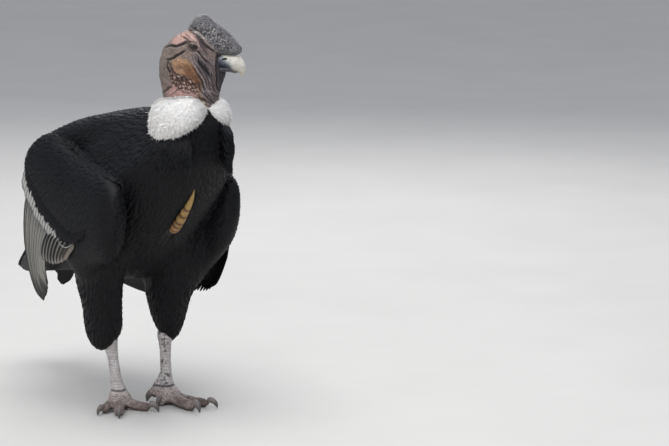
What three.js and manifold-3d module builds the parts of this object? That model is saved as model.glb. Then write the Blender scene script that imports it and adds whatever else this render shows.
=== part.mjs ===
// Andean condor, adult male: it stands at rest with its wings folded and its head turned to its left.
// Millimetres, +Z up. The bird faces -Y and its right side is -X. Points are given as side (towards the
// bird's left), forward (towards its breast) and height above the floor, from a point between its feet.
import * as THREE from "three";
import { mergeVertices } from "three/addons/utils/BufferGeometryUtils.js";
import Module from "manifold-3d";

const wasm = await Module();
wasm.setup();

// Driving dimensions
const headHeight = 750;
const headTurn = THREE.MathUtils.degToRad(63);
const headAxis = { side: 13, forward: 198 };
const eyeRise = 3.5;
const eyeSpacing = 47.6;
const eyeRadius = 9.5;
const neckCut = 656;
const neckRadius = 54;
const ruffMiddle = { side: 2, forward: 206 };
const ruffGap = { left: 0.2, right: -0.04 };
const ruffSlope = 0.25;
const wingHalfSpan = 168;
const leftWingDroop = 46;
const leftWingTuck = 10;
const heelRight = [-57, -38, 168];
const heelLeft = [61, -22, 168];
const ankleRight = [-44, -24, 34];
const ankleLeft = [61, -17, 34];
const palmRadius = 23;
const palmTop = 43;
const palmAhead = 7;
const soleSink = 1.6;

// Feather sheets: thickness at root and tip, the step from one feather to the next, and the tips' scallop
const featherThick = 4.5;
const featherEdge = 1.6;
const featherStep = 2.4;
const featherNotch = 0.07;
const featherSegments = 3;
const sheetSegments = 3;

// Gaps left between parts that meet, and between sheets that lie on each other
const seam = 0.5;
const sheetGap = 1.4;

// The origin stands under the middle of the whole body, this far behind the point between the feet
const frameShift = 96;

const colours = {
  plumage: 0x15161a,
  wingSheen: 0x1d2027,
  greyWhite: 0xb4b3aa,
  flight: 0x131317,
  down: 0xece9e4,
  face: 0x87695a,
  comb: 0x7d777a,
  horn: 0xd9d6c8,
  eye: 0x2a1a12,
  shank: 0xa9a5a4,
  foot: 0x7d726d,
  claw: 0x554942,
};
const clamp = THREE.MathUtils.clamp;

// The place of a point given as side, forward and height
const place = (side, forward, height) => new THREE.Vector3(side, -forward, height);

// A smooth row of numbers for each t in 0..1, through evenly spaced rows
function flow(rows) {
  const steps = rows.map((row, i) => i / (rows.length - 1));
  const curve = new THREE.CubicInterpolant(steps, rows.flat(), rows[0].length);
  return (t) => Array.from(curve.evaluate(clamp(t, 0, 1)));
}

// A closed skin: a sphere whose corners move to where(angle, t), t running from one pole to the other.
// A pole comes to the middle of its ring, so the skin closes there.
function moulded(around, along, where) {
  const ball = new THREE.SphereGeometry(1, around, along);
  const corner = ball.attributes.position;
  for (let i = 0; i < corner.count; i++) {
    const t = Math.acos(clamp(corner.getY(i), -1, 1)) / Math.PI;
    const atPole = t < 1e-4 || t > 1 - 1e-4;
    const angle = Math.atan2(corner.getZ(i), -corner.getX(i));
    const spot = atPole ? where(0, t).add(where(Math.PI, t)).multiplyScalar(0.5) : where(angle, t);
    corner.setXYZ(i, spot.x, spot.y, spot.z);
  }
  return geometryFrom(solidFrom(welded(ball)));
}

function welded(geometry) {
  const bare = geometry.clone();
  bare.deleteAttribute("normal");
  bare.deleteAttribute("uv");
  return mergeVertices(bare, 1e-3);
}

// The same skin moved outwards by a few tenths, to cut a neighbour with
function grown(geometry, by) {
  const bigger = geometry.clone();
  bigger.computeVertexNormals();
  const corner = bigger.attributes.position;
  const normal = bigger.attributes.normal;
  for (let i = 0; i < corner.count; i++) {
    corner.setXYZ(
      i,
      corner.getX(i) + normal.getX(i) * by,
      corner.getY(i) + normal.getY(i) * by,
      corner.getZ(i) + normal.getZ(i) * by,
    );
  }
  bigger.deleteAttribute("normal");
  return bigger;
}

function solidFrom(geometry) {
  const triVerts = new Uint32Array(geometry.index.array);
  const vertProperties = new Float32Array(geometry.attributes.position.array);
  const made = new wasm.Manifold(new wasm.Mesh({ numProp: 3, vertProperties, triVerts }));
  if (made.volume() >= 0) return made;
  const turned = triVerts.slice();
  for (let i = 0; i < turned.length; i += 3) {
    [turned[i + 1], turned[i + 2]] = [triVerts[i + 2], triVerts[i + 1]];
  }
  return new wasm.Manifold(new wasm.Mesh({ numProp: 3, vertProperties, triVerts: turned }));
}

function geometryFrom(solid) {
  const mesh = solid.getMesh();
  const geometry = new THREE.BufferGeometry();
  geometry.setAttribute("position", new THREE.BufferAttribute(mesh.vertProperties, 3));
  geometry.setIndex(new THREE.BufferAttribute(mesh.triVerts, 1));
  return welded(geometry);
}

const joined = (geometries) =>
  geometryFrom(geometries.map(solidFrom).reduce((sum, next) => sum.add(next)));

// The biggest body left of a skin after its neighbours, grown by a gap, are cut away
function cutBy(geometry, neighbours, gap = seam) {
  let left = solidFrom(geometry);
  for (const neighbour of neighbours) left = left.subtract(solidFrom(grown(neighbour, gap)));
  const bodies = left.decompose().sort((a, b) => b.volume() - a.volume());
  return geometryFrom(bodies[0]);
}

function slab(low, high) {
  const size = new THREE.Vector3().subVectors(high, low);
  const block = new THREE.BoxGeometry(size.x, size.y, size.z);
  const middle = new THREE.Vector3().addVectors(low, high).multiplyScalar(0.5);
  return welded(block.translate(middle.x, middle.y, middle.z));
}

// A rounded section: cosine and sine pulled towards a square by the exponent
const squared = (value, exponent) => Math.sign(value) * Math.abs(value) ** exponent;

// A tube of changing section along a curve. rows hold half width, half depth; facing is the depth's way
function tube(path, rows, around, along, facing) {
  const sizes = flow(rows);
  return moulded(around, along, (angle, t) => {
    const [halfWidth, halfDepth] = sizes(t).map((size) => Math.max(size, 0.1));
    const ahead = path.getTangent(t);
    const across = new THREE.Vector3().crossVectors(facing, ahead).normalize();
    const out = new THREE.Vector3().crossVectors(ahead, across);
    return path
      .getPoint(t)
      .addScaledVector(across, halfWidth * Math.cos(angle))
      .addScaledVector(out, halfDepth * Math.sin(angle));
  });
}

const route = (points) => new THREE.CatmullRomCurve3(points.map((p) => place(...p)));

// Trunk: upright slices from the rump to the breast. Rows: forward, top, bottom, half width
const trunkRows = [
  [-338, 424, 420, 1],
  [-318, 456, 394, 46],
  [-255, 522, 338, 84],
  [-170, 569, 278, 109],
  [-75, 593, 254, 120],
  [20, 612, 284, 123],
  [100, 624, 346, 122],
  [165, 628, 405, 114],
  [212, 634, 454, 96],
  [245, 636, 500, 74],
  [264, 610, 532, 43],
  [270, 578, 566, 1],
];

function trunkShape() {
  const slice = flow(trunkRows);
  return moulded(18, 16, (angle, t) => {
    const [forward, top, bottom, halfWidth] = slice(t);
    const foreness = THREE.MathUtils.smoothstep(forward, 20, 190);
    const up = squared(Math.sin(angle), 0.9);
    const backFlatness = THREE.MathUtils.lerp(0.64, 0.95, foreness);
    const across = squared(Math.cos(angle), up > 0 ? backFlatness : 0.88);
    const taper = 1 - foreness * (up > 0 ? 0.38 * up : -0.22 * up);
    const height = (top + bottom) / 2 + ((top - bottom) / 2) * up;
    return place(halfWidth * across * taper, forward, height);
  });
}

// Mantle: the shoulder feathers heaped between the back and the wing, one heap on each side.
// Route: side, forward, height. Rows: half width, half depth
const mantleRoute = [
  [60, 70, 586],
  [72, 20, 579],
  [86, -50, 565],
  [96, -110, 547],
  [112, -165, 524],
  [126, -195, 500],
];
const mantleRows = [
  [3, 3],
  [18, 16],
  [28, 22],
  [30, 24],
  [24, 20],
  [3, 3],
];
const leftMantleDrop = 14;

function mantleShape(side) {
  const last = mantleRoute.length - 1;
  const drop = side > 0 ? leftMantleDrop : 0;
  const lowered = (height, i) => height - (drop * i) / last;
  const points = mantleRoute.map(([out, forward, height], i) => [side * out, forward, lowered(height, i)]);
  return tube(route(points), mantleRows, 8, 6, new THREE.Vector3(side * 0.5, 0, 1));
}

// Wing: the folded arm under its coverts. Rows: forward, top, bottom, outer side, inner side
const wingRows = [
  [166, 450, 432, 136, 124],
  [156, 480, 386, 149, 112],
  [122, 496, 338, 161, 102],
  [58, 507, 310, wingHalfSpan - 2, 94],
  [-8, 519, 284, wingHalfSpan, 90],
  [-64, 536, 318, wingHalfSpan, 90],
  [-125, 550, 368, wingHalfSpan, 92],
  [-178, 539, 414, wingHalfSpan - 3, 96],
  [-206, 508, 448, 158, 110],
  [-213, 486, 474, 142, 130],
];

// The left wing hangs lower behind the wrist and lies closer to the body
const droop = (forward) => leftWingDroop * THREE.MathUtils.smoothstep(-forward, -165, 20);

function wingShape(side) {
  const slice = flow(wingRows);
  return moulded(12, 13, (angle, t) => {
    const [forward, top, bottom, outer, inner] = slice(t);
    const up = squared(Math.sin(angle), 0.9);
    const across = squared(Math.cos(angle), 0.85);
    const out = (outer + inner) / 2 + ((outer - inner) / 2) * across;
    const height = (top + bottom) / 2 + ((top - bottom) / 2) * up;
    const tuck = 16 * Math.max(0, Math.abs(up) - 0.55) ** 1.5;
    if (side < 0) return place(tuck - out, forward, height);
    return place(out - tuck - leftWingTuck, forward, height - droop(forward));
  });
}

// A fan of flight feathers as one thin sheet: a slab bent along the lines from roots to tips, each feather
// stepped over the next and rounded at its end. Rows: root, bend and tip, each side, forward, height
function fan(feathers, rows, upperSide) {
  const line = flow(rows);
  const slabShape = new THREE.BoxGeometry(1, 1, 1, featherSegments * feathers, sheetSegments, 1);
  const corner = slabShape.attributes.position;
  for (let i = 0; i < corner.count; i++) {
    const across = corner.getX(i) + 0.5;
    const along = corner.getY(i) + 0.5;
    const share = (across * feathers) % 1;
    const row = line(across);
    const shaft = new THREE.QuadraticBezierCurve3(
      place(...row.slice(0, 3)),
      place(...row.slice(3, 6)),
      place(...row.slice(6, 9)),
    );
    const reach = 1 - featherNotch * (1 - Math.sin(Math.PI * clamp(share, 0.02, 1))) * along;
    const thick = THREE.MathUtils.lerp(featherThick, featherEdge, along);
    const lift = featherStep * (0.5 - share) + thick * corner.getZ(i);
    const spot = shaft.getPoint(along * reach).addScaledVector(upperSide(across), lift);
    corner.setXYZ(i, spot.x, spot.y, spot.z);
  }
  return geometryFrom(solidFrom(welded(slabShape)));
}

// Flight feathers of the folded wings, from the upper or inner feather to the lower or outer one
const secondariesRight = [
  [-146, 10, 330, -152, -50, 305, -134, -118, 292],
  [-152, -40, 362, -160, -104, 312, -130, -146, 288],
  [-155, -92, 396, -164, -150, 300, -120, -186, 232],
  [-156, -140, 425, -164, -192, 306, -108, -226, 200],
  [-154, -182, 455, -166, -226, 320, -98, -262, 188],
];
const secondariesLeft = [
  [150, 60, 316, 152, 10, 254, 138, -70, 222],
  [149, -10, 318, 156, -70, 262, 136, -125, 222],
  [148, -92, 352, 158, -150, 284, 127, -190, 220],
  [149, -140, 380, 158, -192, 296, 117, -226, 214],
  [147, -182, 409, 157, -226, 312, 107, -262, 208],
];
const tertialsRight = [
  [-124, -182, 500, -102, -262, 470, -50, -366, 376],
  [-136, -182, 482, -114, -262, 440, -63, -356, 334],
  [-146, -176, 458, -130, -250, 400, -78, -330, 290],
];
const tertialsLeft = [
  [117, -182, 470, 98, -262, 450, 48, -366, 370],
  [128, -182, 446, 108, -262, 414, 62, -356, 330],
  [138, -176, 418, 124, -250, 372, 76, -330, 286],
];
const primariesRight = [
  [-126, -70, 372, -122, -210, 330, -54, -352, 284],
  [-130, -40, 350, -128, -195, 310, -57, -398, 262],
  [-133, 0, 330, -134, -175, 292, -60, -438, 238],
  [-134, 40, 314, -138, -160, 280, -54, -466, 221],
];
const primariesLeft = [
  [118, -70, 340, 110, -210, 300, 58, -356, 296],
  [121, -40, 312, 115, -195, 262, 60, -400, 280],
  [125, 4, 286, 121, -150, 214, 63, -432, 266],
  [131, 64, 290, 132, -60, 138, 66, -452, 250],
];

const outwards = (side) => (across) => new THREE.Vector3(side, 0.25 + 0.35 * across, 0.2).normalize();

// Tail: its last feathers on the left hang a little lower than the rest. Rows: root, bend and tip
const tailRows = [
  [-30, -240, 482, -50, -348, 324, -50, -472, 216],
  [-15, -240, 492, -27, -352, 340, -31, -474, 211],
  [0, -240, 496, 0, -356, 348, 0, -476, 210],
  [15, -240, 492, 27, -364, 342, 31, -480, 216],
  [30, -240, 482, 49, -374, 312, 56, -480, 154],
];
const tailShape = () => fan(8, tailRows, () => new THREE.Vector3(0, 0.4, 0.9));

// Thigh: the feathered leg from the flank to the heel, where its feathers hang over the shank's outer side.
// Rows: side, forward, height, half width, half length
function thighShape(rows) {
  const slice = flow(rows);
  return moulded(12, 10, (angle, t) => {
    const [side, forward, height, halfWidth, halfLength] = slice(t);
    return place(side + halfWidth * Math.cos(angle), forward + halfLength * Math.sin(angle), height);
  });
}
const thighRight = [
  [-82, 0, 402, 4, 4],
  [-82, 0, 386, 38, 60],
  [-88, -6, 330, 44, 80],
  [-87, -17, 272, 41, 66],
  [-79, -22, 215, 37, 46],
  [-71, -33, 165, 34, 43],
  [-71, -40, 140, 24, 29],
  [-72, -42, 126, 13, 15],
  [-71, -42, 120, 1, 1],
];
const thighLeft = [
  [82, 6, 402, 4, 4],
  [82, 6, 386, 38, 60],
  [78, 0, 330, 48, 78],
  [69, -10, 268, 49, 70],
  [65, -13, 212, 39, 51],
  [67, -16, 170, 29, 35],
  [70, -17, 144, 18, 20],
  [71, -17, 134, 10, 10],
  [71, -17, 128, 1, 1],
];

// Shank: the bare scaled leg, wider at the heel and at the toes' joint. Rows: half width, half length
const shankRows = [
  [2, 2],
  [15, 17],
  [13, 15.5],
  [11, 13.5],
  [10.8, 13],
  [11.5, 13],
  [14, 14],
  [15, 15],
  [13, 13],
  [1, 1],
];

function shankShape(ankle, heel) {
  const down = (share, height) => [
    THREE.MathUtils.lerp(heel[0], ankle[0], share),
    THREE.MathUtils.lerp(heel[1], ankle[1], share),
    height,
  ];
  const path = route([heel, down(0.3, 120), down(0.65, 75), down(1, ankle[2]), down(1.04, 16)]);
  return tube(path, shankRows, 9, 9, new THREE.Vector3(0, -1, 0.2));
}

// The compass bearing of a toe from the leg it grows on
const bearingOf = (ankle, [side, forward]) => Math.atan2(side - ankle[0], forward - ankle[1]);

// Toe: swollen at its joints, arched from the palm to the floor. Rows: half width, half height, per radius
const toeRows = [
  [0.25, 0.25],
  [1.25, 1.3],
  [1.05, 1.1],
  [0.92, 1],
  [1.02, 1.02],
  [0.86, 0.95],
  [0.9, 0.98],
  [0.72, 0.8],
  [0.1, 0.1],
];

function toeShape(ankle, toe) {
  const bearing = bearingOf(ankle, toe.tip);
  const reach = Math.hypot(toe.tip[0] - ankle[0], toe.tip[1] - ankle[1]) - 0.7 * toe.claw;
  const step = (share, height) => [
    ankle[0] + Math.sin(bearing) * reach * share,
    ankle[1] + Math.cos(bearing) * reach * share,
    height,
  ];
  const low = toe.radius - soleSink;
  const path = route([
    step(0.02, palmTop / 2 + toe.lift),
    step(0.35, low + 4 + toe.lift),
    step(0.7, low + 0.6 * toe.lift),
    step(1, low),
  ]);
  const rows = toeRows.map((row) => row.map((size) => size * toe.radius));
  return tube(path, rows, 6, 7, new THREE.Vector3(0, 0, 1));
}

// Claw: a curved cone out of the toe's end, its point on the floor.
// Rows: half width, half height, per radius of the toe
const clawRows = [
  [0.06, 0.06],
  [0.46, 0.58],
  [0.44, 0.53],
  [0.32, 0.39],
  [0.05, 0.05],
];

function clawShape(ankle, toe) {
  const bearing = bearingOf(ankle, toe.tip);
  const from = (back, height) => [
    toe.tip[0] - Math.sin(bearing) * back * toe.claw,
    toe.tip[1] - Math.cos(bearing) * back * toe.claw,
    height * toe.radius,
  ];
  const path = route([from(1.05, 1.05), from(0.6, 1.55), from(0.2, 1.05), from(0, 0.12)]);
  const rows = clawRows.map((row) => row.map((size) => size * toe.radius));
  return tube(path, rows, 5, 6, new THREE.Vector3(0, 0, 1));
}

// Toes: where the claw's point stands (side, forward), the toe's radius, the claw's length, the arch's lift
const toesRight = {
  inner: { tip: [8, 52], radius: 10.5, claw: 25, lift: 0 },
  middle: { tip: [-88, 66], radius: 11.5, claw: 25, lift: 0 },
  outer: { tip: [-112, 18], radius: 10, claw: 22, lift: 5 },
  hind: { tip: [-34, -72], radius: 8.5, claw: 20, lift: 0 },
};
const toesLeft = {
  inner: { tip: [24, 12], radius: 10, claw: 18, lift: 0 },
  middle: { tip: [74, 102], radius: 12, claw: 25, lift: 0 },
  outer: { tip: [126, 80], radius: 10.5, claw: 25, lift: 0 },
  hind: { tip: [29, -42], radius: 13, claw: 17, lift: 25 },
};

function footShape(ankle, toes) {
  const palm = moulded(8, 5, (angle, t) => {
    const round = squared(Math.sin(Math.PI * t), 0.8);
    const height = (palmTop / 2) * (1 + Math.cos(Math.PI * t));
    return place(
      ankle[0] + palmRadius * round * Math.cos(angle),
      ankle[1] + palmAhead + palmRadius * round * Math.sin(angle),
      height - soleSink,
    );
  });
  const parts = Object.values(toes).map((toe) => toeShape(ankle, toe));
  return joined([palm, ...parts]);
}

// Head: level slices from the throat to the crown, in the head's own axes, from the eyes' middle.
// Rows: height, back, front, half width, how pointed the front is
const headRows = [
  [-131, -4, 8, 1, 0],
  [-127, -22, 26, 18, 0],
  [-116, -44, 43, 33, 0.05],
  [-100, -54, 49.5, 39, 0.15],
  [-80, -60, 54.5, 41, 0.3],
  [-60, -64, 61, 41, 0.4],
  [-44, -65, 63.5, 41, 0.5],
  [-30, -64, 62, 40, 0.5],
  [-16, -60.5, 58, 36.5, 0.45],
  [0, -55, 50, 33, 0.4],
  [12, -42, 38, 29.5, 0.3],
  [22, -31, 26, 23, 0.15],
  [29, -19, 14, 16, 0],
  [32, -8, 2, 1, 0],
];

// A point given in the head's own axes: ahead along the bill, to its left, and up from the eyes
function onHead(ahead, left, up) {
  const turned = new THREE.Vector3(left, -ahead, up).applyAxisAngle(new THREE.Vector3(0, 0, 1), headTurn);
  return turned.add(place(headAxis.side, headAxis.forward, headHeight));
}

function headShape() {
  const slice = flow(headRows);
  return moulded(16, 14, (angle, t) => {
    const [up, back, front, halfWidth, point] = slice(t);
    const along = Math.cos(angle);
    const ahead = (back + front) / 2 + ((front - back) / 2) * along;
    const narrow = 1 - point * Math.max(0, along) ** 1.5;
    return onHead(ahead, halfWidth * Math.sin(angle) * narrow, up);
  });
}

// Comb: sections from its rear end to its front.
// Rows: lower edge ahead, up, upper edge ahead, up, half thickness
const combRows = [
  [-9.5, 35.5, -9.5, 37.5, 1],
  [-8, 34.2, -5.5, 46, 7],
  [-2, 31, 2, 55.5, 9.5],
  [5.5, 26.6, 13, 61.5, 11],
  [13, 21, 25, 63, 12],
  [20, 12.5, 34, 58, 12.8],
  [28, 2.5, 45, 47.5, 13.2],
  [39, -6, 57, 39, 13.5],
  [52, -13.5, 69, 29, 13.2],
  [64, -15.8, 81, 16.3, 12.3],
  [76, -16.4, 90.5, 6, 10.8],
  [86, -16, 95, -3.5, 8],
  [92, -13, 94.8, -9, 4],
  [94, -11.5, 94.3, -10, 1],
];

function combShape() {
  const slice = flow(combRows);
  return moulded(11, 12, (angle, t) => {
    const [lowAhead, lowUp, highAhead, highUp, halfThick] = slice(t);
    const rise = (1 + Math.cos(angle)) / 2;
    const thick = halfThick * squared(Math.sin(angle), 0.8) * (1.15 - 0.3 * rise);
    return onHead(lowAhead + (highAhead - lowAhead) * rise, thick, lowUp + (highUp - lowUp) * rise);
  });
}

// Bill halves: sections along the bill.
// Rows: ahead, up of the middle, half height, half width, lean of the section
function billShape(rows) {
  const slice = flow(rows);
  return moulded(8, 11, (angle, t) => {
    const [ahead, up, halfHigh, halfWide, lean] = slice(t);
    const rise = halfHigh * Math.cos(angle);
    return onHead(ahead + rise * Math.sin(lean), halfWide * Math.sin(angle), up + rise * Math.cos(lean));
  });
}
const upperBill = [
  [43, -27, 1, 1, 0],
  [47, -27.5, 9.5, 12, 0],
  [60, -27.5, 10, 13, 0],
  [73, -28.5, 11, 12, 0.1],
  [84, -31.5, 13, 10.5, 0.35],
  [90.5, -37.5, 10.8, 8.8, 0.85],
  [95, -46.5, 6.4, 6, 1.3],
  [94.9, -54, 2.7, 3, 1.55],
  [94.4, -60.3, 0.5, 0.5, 1.6],
];
const lowerBill = [
  [46, -44, 1, 1, 0],
  [50, -44, 5.5, 10.5, 0],
  [60, -44, 5.5, 10, 0],
  [72, -45, 5, 8.8, 0.1],
  [82, -48, 4, 6.5, 0.2],
  [90, -50.8, 0.8, 1, 0.2],
];

function eyeShape(side) {
  const ball = welded(new THREE.SphereGeometry(eyeRadius, 10, 6));
  const middle = onHead(0, (side * eyeSpacing) / 2, eyeRise);
  return ball.translate(middle.x, middle.y, middle.z);
}

// Ruff: a ring of down round the neck's foot, thick at the sides, open at the throat
const ruffRows = [
  [48, 634, 3, 3],
  [56, 628, 12, 17],
  [59, 618, 18, 30],
  [60, 611, 20, 38],
  [59, 609, 21, 39],
  [58, 612, 21, 38],
  [56, 616, 22, 35],
  [55, 612, 20, 36],
  [57, 612, 20, 38],
  [61, 615, 21, 41],
  [65, 623, 22, 37],
  [66, 634, 20, 28],
  [52, 637, 4, 8],
];

function ruffShape() {
  const ring = flow(ruffRows);
  return moulded(8, 14, (angle, t) => {
    const [radius, height, halfThick, halfHigh] = ring(t);
    const bearing = ruffGap.left + t * (2 * Math.PI - ruffGap.left - ruffGap.right);
    const out = radius + halfThick * Math.cos(angle);
    return place(
      ruffMiddle.side + out * Math.sin(bearing),
      ruffMiddle.forward + out * Math.cos(bearing),
      height + halfHigh * Math.sin(angle) - ruffSlope * halfThick * Math.cos(angle),
    );
  });
}

// Neck: the bare skin between the head and the trunk, inside the ruff
function neckShape() {
  const path = route([[8, 198, 690], [6, 200, 650], [3, 205, 620], [2, 208, 588]]);
  const rows = [0.04, 0.87, 0.93, 1, 1, 0.04].map((share) => [share * neckRadius, share * neckRadius]);
  return tube(path, rows, 12, 5, new THREE.Vector3(0, -1, 0));
}

const condor = new THREE.Group();
condor.position.y = -frameShift;

function add(name, geometry, colour, roughness) {
  const material = new THREE.MeshStandardMaterial({ color: colours[colour], roughness });
  const mesh = new THREE.Mesh(geometry, material);
  mesh.name = name;
  condor.add(mesh);
}

const above = slab(place(-300, 500, neckCut), place(300, -100, 900));
const below = slab(place(-300, 500, 300), place(300, -100, neckCut));
const underFloor = slab(place(-300, 300, -60), place(300, -300, 0));
const levelled = (geometry) => cutBy(geometry, [underFloor], 0);

const eyes = { right: eyeShape(-1), left: eyeShape(1) };
const billUpper = billShape(upperBill);
const billLower = cutBy(billShape(lowerBill), [billUpper]);
const combWhole = combShape();
const comb = cutBy(combWhole, [billUpper]);
const headWhole = headShape();
const headTop = cutBy(headWhole, [combWhole, billUpper, billLower, eyes.right, eyes.left, below]);
const neckWhole = joined([neckShape(), cutBy(headWhole, [above])]);
const neck = cutBy(neckWhole, [above]);
const torso = [trunkShape(), mantleShape(-1), mantleShape(1)];
const ruff = cutBy(ruffShape(), [neckWhole, headWhole]);
const trunk = cutBy(joined(torso), [neckWhole, ruffShape()]);

add("eye_right", eyes.right, "eye", 0.1);
add("eye_left", eyes.left, "eye", 0.1);
add("bill_upper", billUpper, "horn", 0.45);
add("bill_lower", billLower, "horn", 0.45);
add("comb", comb, "comb", 0.75);
add("head", headTop, "face", 0.7);
add("neck", neck, "face", 0.7);
add("trunk", trunk, "plumage", 0.6);
add("ruff", ruff, "down", 0.95);

const tailWhole = tailShape();
add("tail", cutBy(tailWhole, torso), "flight", 0.55);

const sides = [
  {
    name: "right",
    sign: -1,
    secondaries: secondariesRight,
    primaries: primariesRight,
    tertials: tertialsRight,
    thigh: thighRight,
    heel: heelRight,
    ankle: ankleRight,
    toes: toesRight,
  },
  {
    name: "left",
    sign: 1,
    secondaries: secondariesLeft,
    primaries: primariesLeft,
    tertials: tertialsLeft,
    thigh: thighLeft,
    heel: heelLeft,
    ankle: ankleLeft,
    toes: toesLeft,
  },
];

for (const { name, sign, secondaries, primaries, tertials, thigh, heel, ankle, toes } of sides) {
  const wingWhole = wingShape(sign);
  add(`wing_${name}`, cutBy(wingWhole, torso), "wingSheen", 0.55);

  const bodies = [wingWhole, ...torso, tailWhole];
  const innerSheet = fan(8, secondaries, outwards(sign));
  add(`secondaries_${name}`, cutBy(innerSheet, bodies), "greyWhite", 0.6);

  const outerSheet = fan(5, primaries, outwards(sign));
  const longQuills = cutBy(outerSheet, [...bodies, innerSheet]);
  add(`primaries_${name}`, cutBy(longQuills, [innerSheet], sheetGap), "flight", 0.5);

  const rearQuills = cutBy(fan(4, tertials, outwards(sign)), bodies);
  add(`tertials_${name}`, cutBy(rearQuills, [innerSheet, outerSheet], sheetGap), "flight", 0.5);

  const shankWhole = shankShape(ankle, heel);
  const claws = Object.entries(toes).map(([toe, sizes]) => [toe, clawShape(ankle, sizes)]);
  const clawSkins = claws.map(([, claw]) => claw);
  const foot = levelled(cutBy(footShape(ankle, toes), [shankWhole, ...clawSkins]));
  const legWhole = thighShape(thigh);
  add(`thigh_${name}`, cutBy(legWhole, [...torso, wingWhole, shankWhole]), "plumage", 0.65);
  add(`shank_${name}`, shankWhole, "shank", 0.7);
  add(`foot_${name}`, foot, "foot", 0.75);
  for (const [toe, claw] of claws) {
    add(`claw_${toe}_${name}`, levelled(claw), "claw", 0.5);
  }
}

export default condor;
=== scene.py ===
# Andean condor, adult male, standing with folded wings, its head turned to its left. Lengths are worked out
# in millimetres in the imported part's frame (x to the bird's left, y towards its tail, z up) and put into
# the meshes in metres.
import bpy
import numpy as np
import openvdb as vdb
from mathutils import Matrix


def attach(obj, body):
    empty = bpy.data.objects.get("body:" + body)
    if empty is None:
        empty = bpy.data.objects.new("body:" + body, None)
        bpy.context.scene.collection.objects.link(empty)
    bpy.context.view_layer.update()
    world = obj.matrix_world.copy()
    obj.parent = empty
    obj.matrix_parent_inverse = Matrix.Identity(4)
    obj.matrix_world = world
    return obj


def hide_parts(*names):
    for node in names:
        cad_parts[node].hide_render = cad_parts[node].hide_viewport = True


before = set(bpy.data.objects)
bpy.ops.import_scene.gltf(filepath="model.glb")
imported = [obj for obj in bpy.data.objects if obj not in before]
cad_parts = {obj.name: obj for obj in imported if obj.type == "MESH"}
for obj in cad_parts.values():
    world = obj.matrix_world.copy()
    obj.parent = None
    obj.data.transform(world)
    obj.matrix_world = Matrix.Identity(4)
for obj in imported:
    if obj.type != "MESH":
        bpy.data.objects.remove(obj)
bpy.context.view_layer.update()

print("stage: helpers")
mm = 0.001
backShift = 96.0  # the origin stands this far behind the point between the feet
dice = np.random.default_rng(7)


# the point for a place given as side, forward and height
def spot(side, forward, height):
    return np.stack(np.broadcast_arrays(side, -np.asarray(forward, float) - backShift, height), -1)


# how far forward points of the part lie
def forwardOf(p):
    return -p[..., 1] - backShift


def mixed(a, b, share):
    return a + (b - a) * share


def step(x, low, high):
    s = np.clip((x - low) / (high - low), 0, 1)
    return s * s * (3 - 2 * s)


def unit(v):
    return v / np.maximum(np.linalg.norm(v, axis=-1, keepdims=True), 1e-9)


# colours as they look on a screen, 0 to 255, as linear numbers
def tint(*colour):
    c = np.squeeze(np.array(colour, float)) / 255
    return np.where(c < 0.04045, c / 12.92, ((c + 0.055) / 1.055) ** 2.4)


# smooth rows of numbers at each t in 0 to 1: a Catmull-Rom curve through evenly spaced rows
def flow(rows, t):
    rows = np.array(rows, float)
    rows = np.vstack([2 * rows[0] - rows[1], rows, 2 * rows[-1] - rows[-2]])
    place = np.clip(t, 0, 1) * (len(rows) - 3)
    i = np.minimum(place.astype(int), len(rows) - 4)
    p = (place - i)[..., None]
    a, b, c, d = (rows[i + k] for k in range(4))
    return b + 0.5 * p * (c - a + p * (2 * a - 5 * b + 4 * c - d + p * (3 * (b - c) + d - a)))


# a number from 0 to 1 for each whole-number cell, from a product of large odd numbers
def hashed(cell, seed):
    x, y, z = np.moveaxis(cell, -1, 0)
    mixedUp = x * 374761393 + y * 668265263 + z * 2147483647 + seed * 974634777
    mixedUp = (mixedUp ^ (mixedUp >> 13)) * 1274126177
    return ((mixedUp ^ (mixedUp >> 16)) & 0xFFFF) / 65535.0


# smooth noise from -1 to 1: hashed numbers at the corners of unit cells, eased from corner to corner
def noise(p, seed=0):
    cell = np.floor(p).astype(np.int64)
    f = p - cell
    f = f * f * (3 - 2 * f)
    total = 0
    for corner in np.ndindex(2, 2, 2):
        corner = np.array(corner)
        weight = np.prod(np.where(corner, f, 1 - f), axis=-1)
        total = total + weight * hashed(cell + corner, seed)
    return 2 * total - 1


# cells of a pebbled skin: distance to the nearest seed point, and how much nearer it is than the next
def pebbles(p, seed=0):
    cell = np.floor(p).astype(np.int64)
    first = np.full(p.shape[:-1], 9.0)
    second = first.copy()
    for shift in np.ndindex(3, 3, 3):
        near = cell + np.array(shift) - 1
        seat = near + np.stack([hashed(near, seed + k) for k in range(3)], -1)
        d = np.linalg.norm(p - seat, axis=-1)
        second = np.minimum(second, np.maximum(first, d))
        first = np.minimum(first, d)
    return first, second - first


# least distance from points of a plane to a broken line, and how far along it, 0 to 1
def toLine(p, line):
    line = np.array(line, float)
    start, run = line[:-1], np.diff(line, axis=0)
    along = np.clip(((p[:, None] - start) * run).sum(-1) / (run**2).sum(-1), 0, 1)
    gap = np.linalg.norm(p[:, None] - start - along[..., None] * run, axis=-1)
    best = gap.argmin(1)
    rows = np.arange(len(p))
    return gap[rows, best], (best + along[rows, best]) / len(run)


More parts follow.
